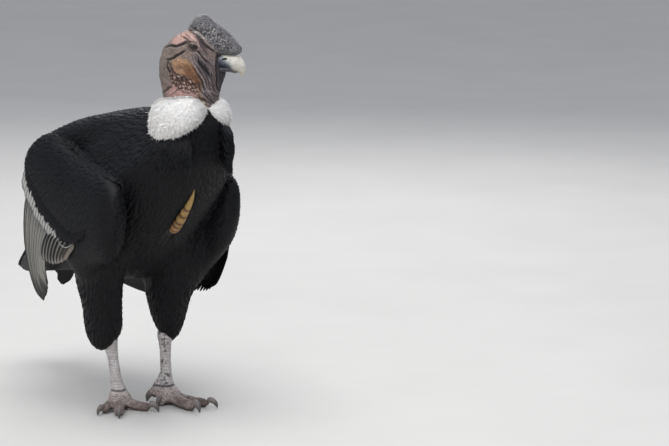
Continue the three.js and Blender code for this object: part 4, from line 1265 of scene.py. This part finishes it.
# a piece of the coat: one feather at each outer root of some shapes, where keep allows it
def clothe(pieceName, shapeNames, kind, lie, unwrap, keep=None):
    gapAlong, gapAcross, length, width, rise, cup, fray, columns = coats[kind]
    roots = np.vstack([outerRoots(name, gapAlong, gapAcross) for name in shapeNames])
    if keep is not None:
        roots = roots[keep(roots)]
    count = len(roots)
    lengths = length * dice.normal(1, 0.1, count)
    spine, normal = spinesOver(body, roots, lie, lengths, rise, 6, 0.09)
    tones = blackTones(count, 7, columns)
    piece = vanes(pieceName, spine, normal, width * dice.normal(1, 0.08, count), outlineRound, cup, tones,
                  unwrap(roots), columns, fray)
    coatPiece(piece, sleek, "plumage")
    print("  " + pieceName, count, "feathers")
    return piece


# roots away from the keel's line
def clearOfKeel(p):
    gap, _ = toLine(p, keelLine)
    return gap > keelClear


# roots outside the round of the neck's foot, or below it
def clearOfNeck(p):
    away = np.hypot(p[:, 0] - neckFoot["side"], forwardOf(p) - neckFoot["forward"])
    return (away > neckFoot["radius"]) | (p[:, 2] < neckFoot["height"])


clothe("coat_back", ["trunk", "mantleRight", "mantleLeft"], "trunk", runOnTrunk, roundBody,
       lambda p: (forwardOf(p) < breastStart) & clearOfNeck(p))
clothe("coat_breast", ["trunk"], "trunk", runOnTrunk, roundBody,
       lambda p: (forwardOf(p) >= breastStart) & clearOfKeel(p) & clearOfNeck(p))
clothe("coat_wing_right", ["wingRight"], "wing", runOnWing, roundBody)
clothe("coat_wing_left", ["wingLeft"], "wing", runOnWing, roundBody)
clothe("coat_thigh_right", ["thighRight"], "thigh", runOnLeg, lambda p: roundLeg(p, thighs["right"]))
clothe("coat_thigh_left", ["thighLeft"], "thigh", runOnLeg, lambda p: roundLeg(p, thighs["left"]))

print("stage: flight feathers")
quills = {  # rows of root, bend and tip, each side, forward, height; from the upper or inner feather outwards
    "secondariesRight": [
        [-155, -88, 390, -164, -142, 296, -122, -184, 236],
        [-156, -112, 404, -165, -168, 292, -114, -206, 208],
        [-157, -140, 425, -166, -190, 300, -106, -230, 192],
        [-156, -166, 442, -167, -208, 310, -101, -248, 188],
        [-154, -182, 455, -166, -226, 320, -98, -262, 188],
    ],
    "secondariesLeft": [
        [148, -88, 350, 157, -142, 280, 128, -184, 222], [149, -112, 362, 158, -168, 284, 122, -206, 216],
        [149, -140, 380, 158, -190, 294, 116, -230, 210], [148, -166, 397, 158, -208, 304, 111, -248, 208],
        [147, -182, 409, 157, -226, 312, 107, -262, 208],
    ],
    "shortRight": [
        [-164, -78, 366, -173, -104, 336, -158, -132, 298],
        [-166, -56, 362, -174, -76, 334, -160, -100, 295],
        [-166, -28, 358, -174, -46, 332, -162, -70, 296], [-166, 4, 354, -173, -14, 330, -164, -42, 304],
        [-165, 40, 356, -171, 20, 340, -166, -10, 318],
    ],
    "shortLeft": [
        [157, -78, 320, 166, -104, 292, 151, -132, 256], [159, -56, 316, 167, -76, 290, 153, -100, 252],
        [159, -28, 312, 167, -46, 288, 155, -70, 252], [159, 4, 306, 166, -14, 284, 157, -42, 258],
        [158, 40, 306, 164, 20, 290, 159, -10, 270],
    ],
    "tertialsRight": [
        [-124, -182, 500, -102, -262, 470, -50, -366, 376],
        [-136, -182, 482, -114, -262, 440, -63, -356, 334],
        [-146, -176, 458, -130, -250, 400, -78, -330, 290],
    ],
    "tertialsLeft": [
        [117, -182, 470, 98, -262, 450, 48, -366, 370], [128, -182, 446, 108, -262, 414, 62, -356, 330],
        [138, -176, 418, 124, -250, 372, 76, -330, 286],
    ],
    "primariesRight": [
        [-126, -70, 372, -122, -210, 330, -54, -352, 284],
        [-130, -40, 350, -128, -195, 310, -57, -398, 262],
        [-133, 0, 330, -134, -175, 292, -60, -438, 238], [-134, 40, 314, -138, -160, 280, -54, -466, 221],
    ],
    "primariesLeft": [
        [118, -70, 340, 110, -210, 300, 58, -356, 296], [121, -40, 312, 115, -195, 262, 60, -400, 280],
        [125, 4, 286, 121, -150, 214, 63, -432, 266], [131, 64, 290, 132, -60, 138, 66, -452, 250],
    ],
    "frontLeft": [
        [154, 84, 330, 160, 56, 292, 150, 34, 244], [154, 56, 322, 161, 24, 270, 149, -2, 226],
        [154, 22, 316, 161, -18, 262, 147, -52, 216], [153, -20, 316, 160, -62, 258, 143, -106, 212],
    ],
    "tail": [
        [-30, -240, 482, -50, -348, 324, -50, -472, 216], [-15, -240, 492, -27, -352, 340, -31, -474, 211],
        [0, -240, 496, 0, -356, 348, 0, -476, 210], [15, -240, 492, 27, -364, 342, 31, -480, 216],
        [30, -240, 482, 49, -374, 312, 56, -480, 154],
    ],
}
quillRows = 26
along = np.linspace(0, 1, quillRows)


# each quill's spine: the quadratic curve through root, bend and tip rows read at its own share of the fan
def quillSpines(rows, shares, reach):
    row = flow(rows, shares)
    root, bend, tip = (spot(row[:, k], row[:, k + 1], row[:, k + 2])[:, None] for k in (0, 3, 6))
    t = (along * reach[:, None])[..., None]
    return (1 - t) ** 2 * root + 2 * t * (1 - t) * bend + t**2 * tip


# a quill's half width along it: narrow at the root, even, then rounded off over the last part
def quillOutline(rounding, waist=0.45):
    body = mixed(waist, 1, step(along, 0, 0.22))
    end = np.clip((along - (1 - rounding)) / rounding, 0, 0.995)
    return body * np.sqrt(1 - end**2.4)


flightStripe = {"edgeFrom": 0.41, "shaftTo": 0.035}  # shares of the width, from the shaft out


# long feather: tone from its attribute, barbs slanting off a shaft line, and a dark line along its edges
def stripedFinish(name, edge, shaft, gloss):
    finish = Finish(name)
    vane = finish.node("ShaderNodeUVMap", {"uv_map": "vane"})
    split = finish.node("ShaderNodeSeparateXYZ", None, [vane])
    across = Wire(finish, split.socket.node.outputs[0])
    off = across.math("ABSOLUTE", across - 0.5)
    down = Wire(finish, split.socket.node.outputs[1])
    slant = finish.node("ShaderNodeCombineXYZ", None, [off * 2.0, down - off * 0.16])
    streak = finish.speckle(5.0, 3.0, finish.stretched((0.5, 26.0, 1.0), slant))
    broad = finish.speckle(4.0, 2.0, finish.stretched((2.2, 3.0, 1.0), vane))
    tone = finish.tinged(finish.attribute("tone"), streak, (176, 176, 178))
    tone = finish.tinged(tone, broad, (205, 205, 208))
    # a dark line along each edge, its width wavering with the broad noise
    edgeLine = off + (broad - 0.5) * 0.09
    edgeFrom = flightStripe["edgeFrom"]
    tone = finish.blend(edgeLine.ramp(edgeFrom, edgeFrom + 0.03), tone, tint(*edge))
    tone = finish.blend(off.ramp(flightStripe["shaftTo"], flightStripe["shaftTo"] * 0.55), tone, tint(*shaft))
    finish.close({
        "Base Color": tone, "Roughness": streak * 0.2 + gloss, "Specular IOR Level": 0.3,
        "Normal": finish.bump(streak, 0.0008, 0.8),
    })
    return finish.material


pale = stripedFinish("grey_white_quill", (30, 29, 30), (118, 112, 105), 0.5)
dark = stripedFinish("dark_quill", (11, 11, 12), (18, 17, 18), 0.5)


# a fan of quills overlapping like slats; tones is a function of how far along and across each one
def quillFan(name, rows, count, width, side, upper, tones, material, slot, rounding, cup=0.12, slat=0.16,
             fray=0.0, wander=0.02, nodes=()):
    shares = (np.arange(count) + 0.5) / count
    reach = 1 - np.abs(dice.normal(0, wander, count))
    spine = quillSpines(rows, shares, reach)
    normal = np.broadcast_to(upper(shares)[:, None], spine.shape).copy()
    ahead = unit(np.gradient(spine, axis=1))
    normal = unit(normal - (normal * ahead).sum(-1, keepdims=True) * ahead)
    widths = width * dice.normal(1, 0.05, count)
    colours = tones(shares[:, None, None], along[None, :, None], np.linspace(-1, 1, 7)[None, None])
    places = np.stack([shares, 0.5 + 0 * shares], -1)
    piece = vanes(name, spine, normal, widths, quillOutline(rounding), cup, colours, places, 7, fray,
                  -slat * side)
    layer = piece.data.uv_layers["OFBake"]
    corners = np.empty(len(piece.data.loops), np.int32)
    piece.data.loops.foreach_get("vertex_index", corners)
    spread = np.stack(np.broadcast_arrays(
        (np.arange(count)[:, None, None] + 0.5 + 0.44 * np.linspace(-1, 1, 7)) / count,
        0.02 + 0.96 * along[None, :, None]), -1).reshape(-1, 2)
    layer.data.foreach_set("uv", spread[corners].astype(np.float32).ravel())
    thick = piece.modifiers.new("thickness", "SOLIDIFY")
    thick.thickness = 0.0006
    thick.offset = 0.0
    coatPiece(piece, material, slot, *nodes)
    return piece


# the upper side of a wing's fan: outwards and a little up, turned forward more with each quill
def outwards(side):
    return lambda across: unit(np.stack([side + 0 * across, -0.25 - 0.35 * across, 0.2 + 0 * across], -1))


# a colour with others laid over it, each by its mask
def layered(base, *parts):
    shade = np.array(base, float)
    for mask, colour in parts:
        shade = mixed(shade, np.array(colour, float), np.clip(mask, 0, 1)[..., None])
    return shade


# tones of quills by their place in the fan (shares), from root to tip (t) and edge to edge (across)
def paleTones(shares, t, across):
    own = 0.05 * np.sin(37.0 * shares + 5.0)
    tipDark = step(t + 0.03 * np.cos(3 * across) + own, 0.74, 0.97)
    return layered((186, 184, 174), (step(-t, -0.3, -0.1) + 0 * across, (150, 148, 142)),
                   # the dark band near the root is painted shadow, where the white coverts lie over the
                   # quills
                   (step(-t, -0.17, -0.12) + 0 * across, (34, 34, 36)),
                   ((0.5 + 0.5 * np.sin(23.0 * shares)) * 0.25 + 0 * t + 0 * across, (150, 150, 140)),
                   (step(across, 0.1, 0.9) * 0.25 + 0 * t, (120, 118, 112)), (tipDark, (58, 58, 56)),
                   (tipDark * step(t, 0.93, 1.0), (26, 26, 28)))


def darkTones(shares, t, across):
    return layered((12, 12, 14), (step(t, 0.5, 1.0) * 0.6 + 0 * across + 0 * shares, (20, 19, 20)))


def tertialTones(shares, t, across):
    outerPart = step(t, 0.3, 0.9) * step(across, 0.0, 0.8)
    return layered((12, 12, 15), (outerPart * 0.5 + 0 * shares, (40, 40, 41)))


for side, name, cap in ((-1, "right", "Right"), (1, "left", "Left")):
    upper = outwards(side)
    quillFan("quills_secondary_" + name, quills["secondaries" + cap], 10, 19.0, side, upper, paleTones,
             pale, "grey_white", 0.16, nodes=["secondaries_" + name])
    quillFan("quills_primary_" + name, quills["primaries" + cap], 9, 30.0, side, upper, darkTones,
             dark, "flight", 0.22, nodes=["primaries_" + name])
    quillFan("quills_tertial_" + name, quills["tertials" + cap], 6, 34.0, side, upper, tertialTones,
             dark, "flight", 0.2, nodes=["tertials_" + name])


# the tail's upper side: up and back, turned outwards from its middle
def tailUpper(across):
    return unit(np.stack([0.35 * (across - 0.5), 0.4 + 0 * across, 0.9 + 0 * across], -1))


quillFan("quills_front_left", quills["frontLeft"], 12, 22.0, 1, outwards(1), darkTones, dark, "flight", 0.4)
quillFan("quills_tail", quills["tail"], 12, 34.0, 1, tailUpper, darkTones, dark, "flight", 0.12, slat=0.1,
         nodes=["tail"])

# the white greater coverts: short broad feathers whose roots lie under the wing's black ones, tips over the
# quills; the black edge coverts lie over their roots, slim and pointed
covertEdge = {
    "white": [[-160, -184, 476], [-164, -186, 451], [-166, -152, 420], [-166, -113, 393], [-164, -70, 373],
              [-162, -30, 361]],
    "black": [[-158, -186, 482], [-163, -190, 456], [-166, -155, 424], [-167, -113, 395], [-167, -70, 376],
              [-167, -34, 362], [-168, -6, 352], [-168, 28, 350], [-166, 66, 364]],
    "leftDrop": 46.0,
    "leftTuck": 10.0,
    "whiteShifts": ((6.0, 20.0, 34.0), (-3.5, 2.0, 6.0), (-3.0, -9.0, -20.0)),  # outwards, forward, up
    "blackShifts": ((4.0, 14.0, 26.0), (-4.5, 6.0, 12.0), (-3.5, -1.0, -3.0)),
    "fringe": [[-172, -26, 354], [-174, -6, 346], [-175, 20, 347], [-174, 44, 358]],
}


# three rows of a band of coverts, from roots to tips: its line shifted outwards, forward and up
def covertRows(name, side):
    line = np.array(covertEdge[name], float)
    if side > 0:
        line = line * [-1, 1, 1] - [covertEdge["leftTuck"], 0, covertEdge["leftDrop"]]
    shifts = [np.array(shift) * [-side, 1, 1] for shift in covertEdge[name + "Shifts"]]
    return np.hstack([line + shift for shift in shifts])


def covertTones(shares, t, across):
    return layered((222, 221, 214), (step(-t, -0.4, -0.25) + 0 * across + 0 * shares, (50, 50, 52)),
                   (step(t, 0.86, 1.0) * 0.6 + 0 * across + 0 * shares, (150, 149, 144)))


def shortTones(shares, t, across):
    return layered((196, 193, 182), (step(across, -0.1, 0.35) + 0 * t + 0 * shares, (16, 15, 16)),
                   (step(shares, 0.5, 1.0) * 0.5 + 0 * t + 0 * across, (122, 104, 84)),
                   (step(t, 0.9, 1.0) * 0.7 + 0 * shares + 0 * across, (24, 22, 22)))


for side, name, cap in ((-1, "right", "Right"), (1, "left", "Left")):
    upper = outwards(side)
    quillFan("coverts_white_" + name, covertRows("white", side), 22, 15.0, side, upper, covertTones,
             pale, "grey_white", 0.3, fray=0.06, wander=0.04)
    quillFan("quills_short_" + name, quills["short" + cap], 8, 15.0, side, upper, shortTones,
             pale, "grey_white", 0.3, slat=0.3)
    quillFan("coverts_edge_" + name, covertRows("black", side), 60, 9.0, side, upper, darkTones,
             sleek, "wing_sheen", 0.9, fray=0.1, wander=0.2)
    if side < 0:  # one thin pale feather edge shows on the right wing only
        edge = spot(*flow(covertEdge["fringe"], along).T)[None]
        out = np.broadcast_to(np.array([side, 0, 0.1]), edge.shape)
        fringe = vanes("covert_fringe_" + name, edge, out, np.array([1.8]), quillOutline(0.3), 0.0,
                       np.full((1, 1, 1, 3), 205.0), np.array([[0.5, 0.5]]), 3)
        coatPiece(fringe, pale, "grey_white")

print("stage: ruff")
ruff = {
    "middle": (2, 206),  # side, forward
    "rim": 600.0,  # height that the down leans away from
    "gaps": (0.2, -0.04),  # bearings left open at the throat, on the left and the right
    "slope": 0.25,
    "rows": [  # radius, height, half thickness, half height; from the throat round the left to the throat
        [48, 634, 3, 3], [56, 628, 12, 17], [59, 618, 18, 30], [60, 611, 20, 38], [59, 609, 21, 39],
        [58, 612, 21, 38], [56, 616, 22, 35], [55, 612, 20, 36], [57, 612, 20, 38], [61, 615, 21, 41],
        [65, 623, 22, 37], [66, 634, 20, 28], [52, 637, 4, 8],
    ],
    "tufts": 30000,
    "length": 9.0,
    "width": 1.3,
    "core": 3.0,
    "around": 64,
    "rings": 200,
}


# a ring of down round the neck's foot: an upright oval section carried round it, open at the throat
def ruffAt(inset):
    def where(angle, t):
        radius, height, thick, high = np.moveaxis(flow(ruff["rows"], t), -1, 0)
        thick, high = np.maximum(thick - inset, 1.5), np.maximum(high - inset, 1.5)
        bearing = ruff["gaps"][0] + t * (2 * np.pi - sum(ruff["gaps"]))
        out = radius + thick * np.cos(angle)
        drop = ruff["slope"] * thick * np.cos(angle)
        return spot(ruff["middle"][0] + out * np.sin(bearing), ruff["middle"][1] + out * np.cos(bearing),
                    height + high * np.sin(angle) - drop)
    return where


# scattered roots on a shape, as even as its area: many tries kept by the size of their cell
def scattered(where, count):
    angle, t = dice.uniform(0, 2 * np.pi, 6 * count), dice.uniform(0, 1, 6 * count)
    e = 0.002
    around = where(angle + e, t) - where(angle - e, t)
    onward = where(angle, np.clip(t + e, 0, 1)) - where(angle, np.clip(t - e, 0, 1))
    cross = np.cross(onward, around)
    area = np.linalg.norm(cross, axis=-1)
    kept = np.flatnonzero(dice.uniform(0, np.quantile(area, 0.98), len(area)) < area)[:count]
    return where(angle[kept], t[kept]), unit(cross[kept]), angle[kept], t[kept]


down = Finish("down")
cloud = down.speckle(60.0, 3.0)
fluff = down.speckle(700.0, 3.0)
downShade = down.blend(cloud, tint(236, 233, 229), tint(250, 249, 247))
downShade = down.blend(1.0, downShade, down.attribute("tone"), "MULTIPLY")
down.close({
    "Base Color": downShade, "Roughness": fluff * 0.1 + 0.85, "Specular IOR Level": 0.15,
    "Sheen Weight": 0.35, "Sheen Roughness": 0.5, "Subsurface Weight": 0.0,
    "Normal": down.bump(fluff, 0.0012, 0.5),
})

points, quads, fans = closedGrid(ruffAt(ruff["core"]), ruff["around"], ruff["rings"])
core = meshOf("ruff_core", points, [quads, fans])
paint(core, "tone", tint(np.full((len(points), 3), 244.0)))
core.data.materials.append(down.material)
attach(core, "root")

for half, name in ((0, "left"), (1, "right")):
    roots, out, angle, t = scattered(ruffAt(ruff["core"] - 1.0), 2 * ruff["tufts"])
    kept = (t > 0.5) == bool(half)
    roots, out, angle, t = roots[kept], out[kept], angle[kept], t[kept]
    count = len(roots)
    downwards = np.array([0, 0, -1.0])
    away = unit(roots - spot(*ruff["middle"], ruff["rim"])) * [1, 1, 0.2]
    lie = unit(downwards * 0.75 + 0.4 * away + 0.3 * dice.normal(0, 1, (count, 3)))
    lie = unit(lie - (lie * out).sum(-1, keepdims=True) * out * 0.8)
    length = ruff["length"] * dice.uniform(0.7, 1.25, count)
    s = np.linspace(0, 1, 4)[None, :, None]
    lift = 3.6 * dice.uniform(0.7, 1.25, count)[:, None, None]
    spine = roots[:, None] + lie[:, None] * length[:, None, None] * s + out[:, None] * lift * np.sin(1.7 * s)
    normal = np.broadcast_to(out[:, None], spine.shape)
    tones = 255 - 22 * (1 - s[..., None]) * np.ones(3) + dice.normal(0, 3, (count, 1, 1, 1))
    tones = np.clip(tones, 200, 255)
    places = np.stack([angle / (2 * np.pi), (t - 0.5 * half) * 2], -1)
    tuft = vanes("ruff_down_" + name, spine, normal, ruff["width"] * dice.uniform(0.7, 1.4, count),
                 [0.8, 1.0, 0.8, 0.15], 0.0, tones, places, 2)
    coatPiece(tuft, down.material, "down", *(["ruff"] if half else []))
    print("  tufts", count)

# hackles: slim black feathers over the neck's foot at the throat gap and out from under the ruff's edge
bands = [  # how many, bearings, start heights, start radius, length
    (420, (-0.75, 0.75), (590, 637), 52.0, 42.0), (280, (0.5, 1.5), (570, 604), 69.0, 25.0),
    (200, (0.6, 1.6), (536, 568), 67.0, 32.0),
    (260, (-1.5, -0.5), (552, 588), 72.0, 38.0),
]
count = sum(band[0] for band in bands)
bearing = np.concatenate([dice.uniform(*band[1], band[0]) for band in bands])
startHigh = np.concatenate([dice.uniform(*band[2], band[0]) for band in bands])
startOut = np.concatenate([np.full(band[0], band[3]) for band in bands])
reach = np.concatenate([band[4] * dice.uniform(0.8, 1.2, band[0]) for band in bands])
away = np.stack([np.sin(bearing), -np.cos(bearing), 0 * bearing], -1)
middle = ruff["middle"]
root = spot(middle[0] + startOut * np.sin(bearing), middle[1] + startOut * np.cos(bearing), startHigh)
s = np.linspace(0, 1, 7)[None, :, None]
length = reach[:, None, None]
spine = root[:, None] + away[:, None] * (2 + 13 * s**0.8) + np.array([0, 0, -1.0]) * length * s
aside = np.stack([np.cos(bearing), np.sin(bearing), 0 * bearing], -1)[:, None]
sway = dice.normal(0, 0.1, (count, 1, 1)) * aside
spine = spine + sway * length * s
normal = np.broadcast_to(unit(away + [0, 0, 0.2])[:, None], spine.shape)
hackles = vanes("coat_hackles", spine, normal, dice.uniform(8, 12, count), outlineLong, 0.2,
                blackTones(count, 7, 5), roundBody(root), 5, 0.16)
coatPiece(hackles, sleek, "plumage")

print("stage: finish")
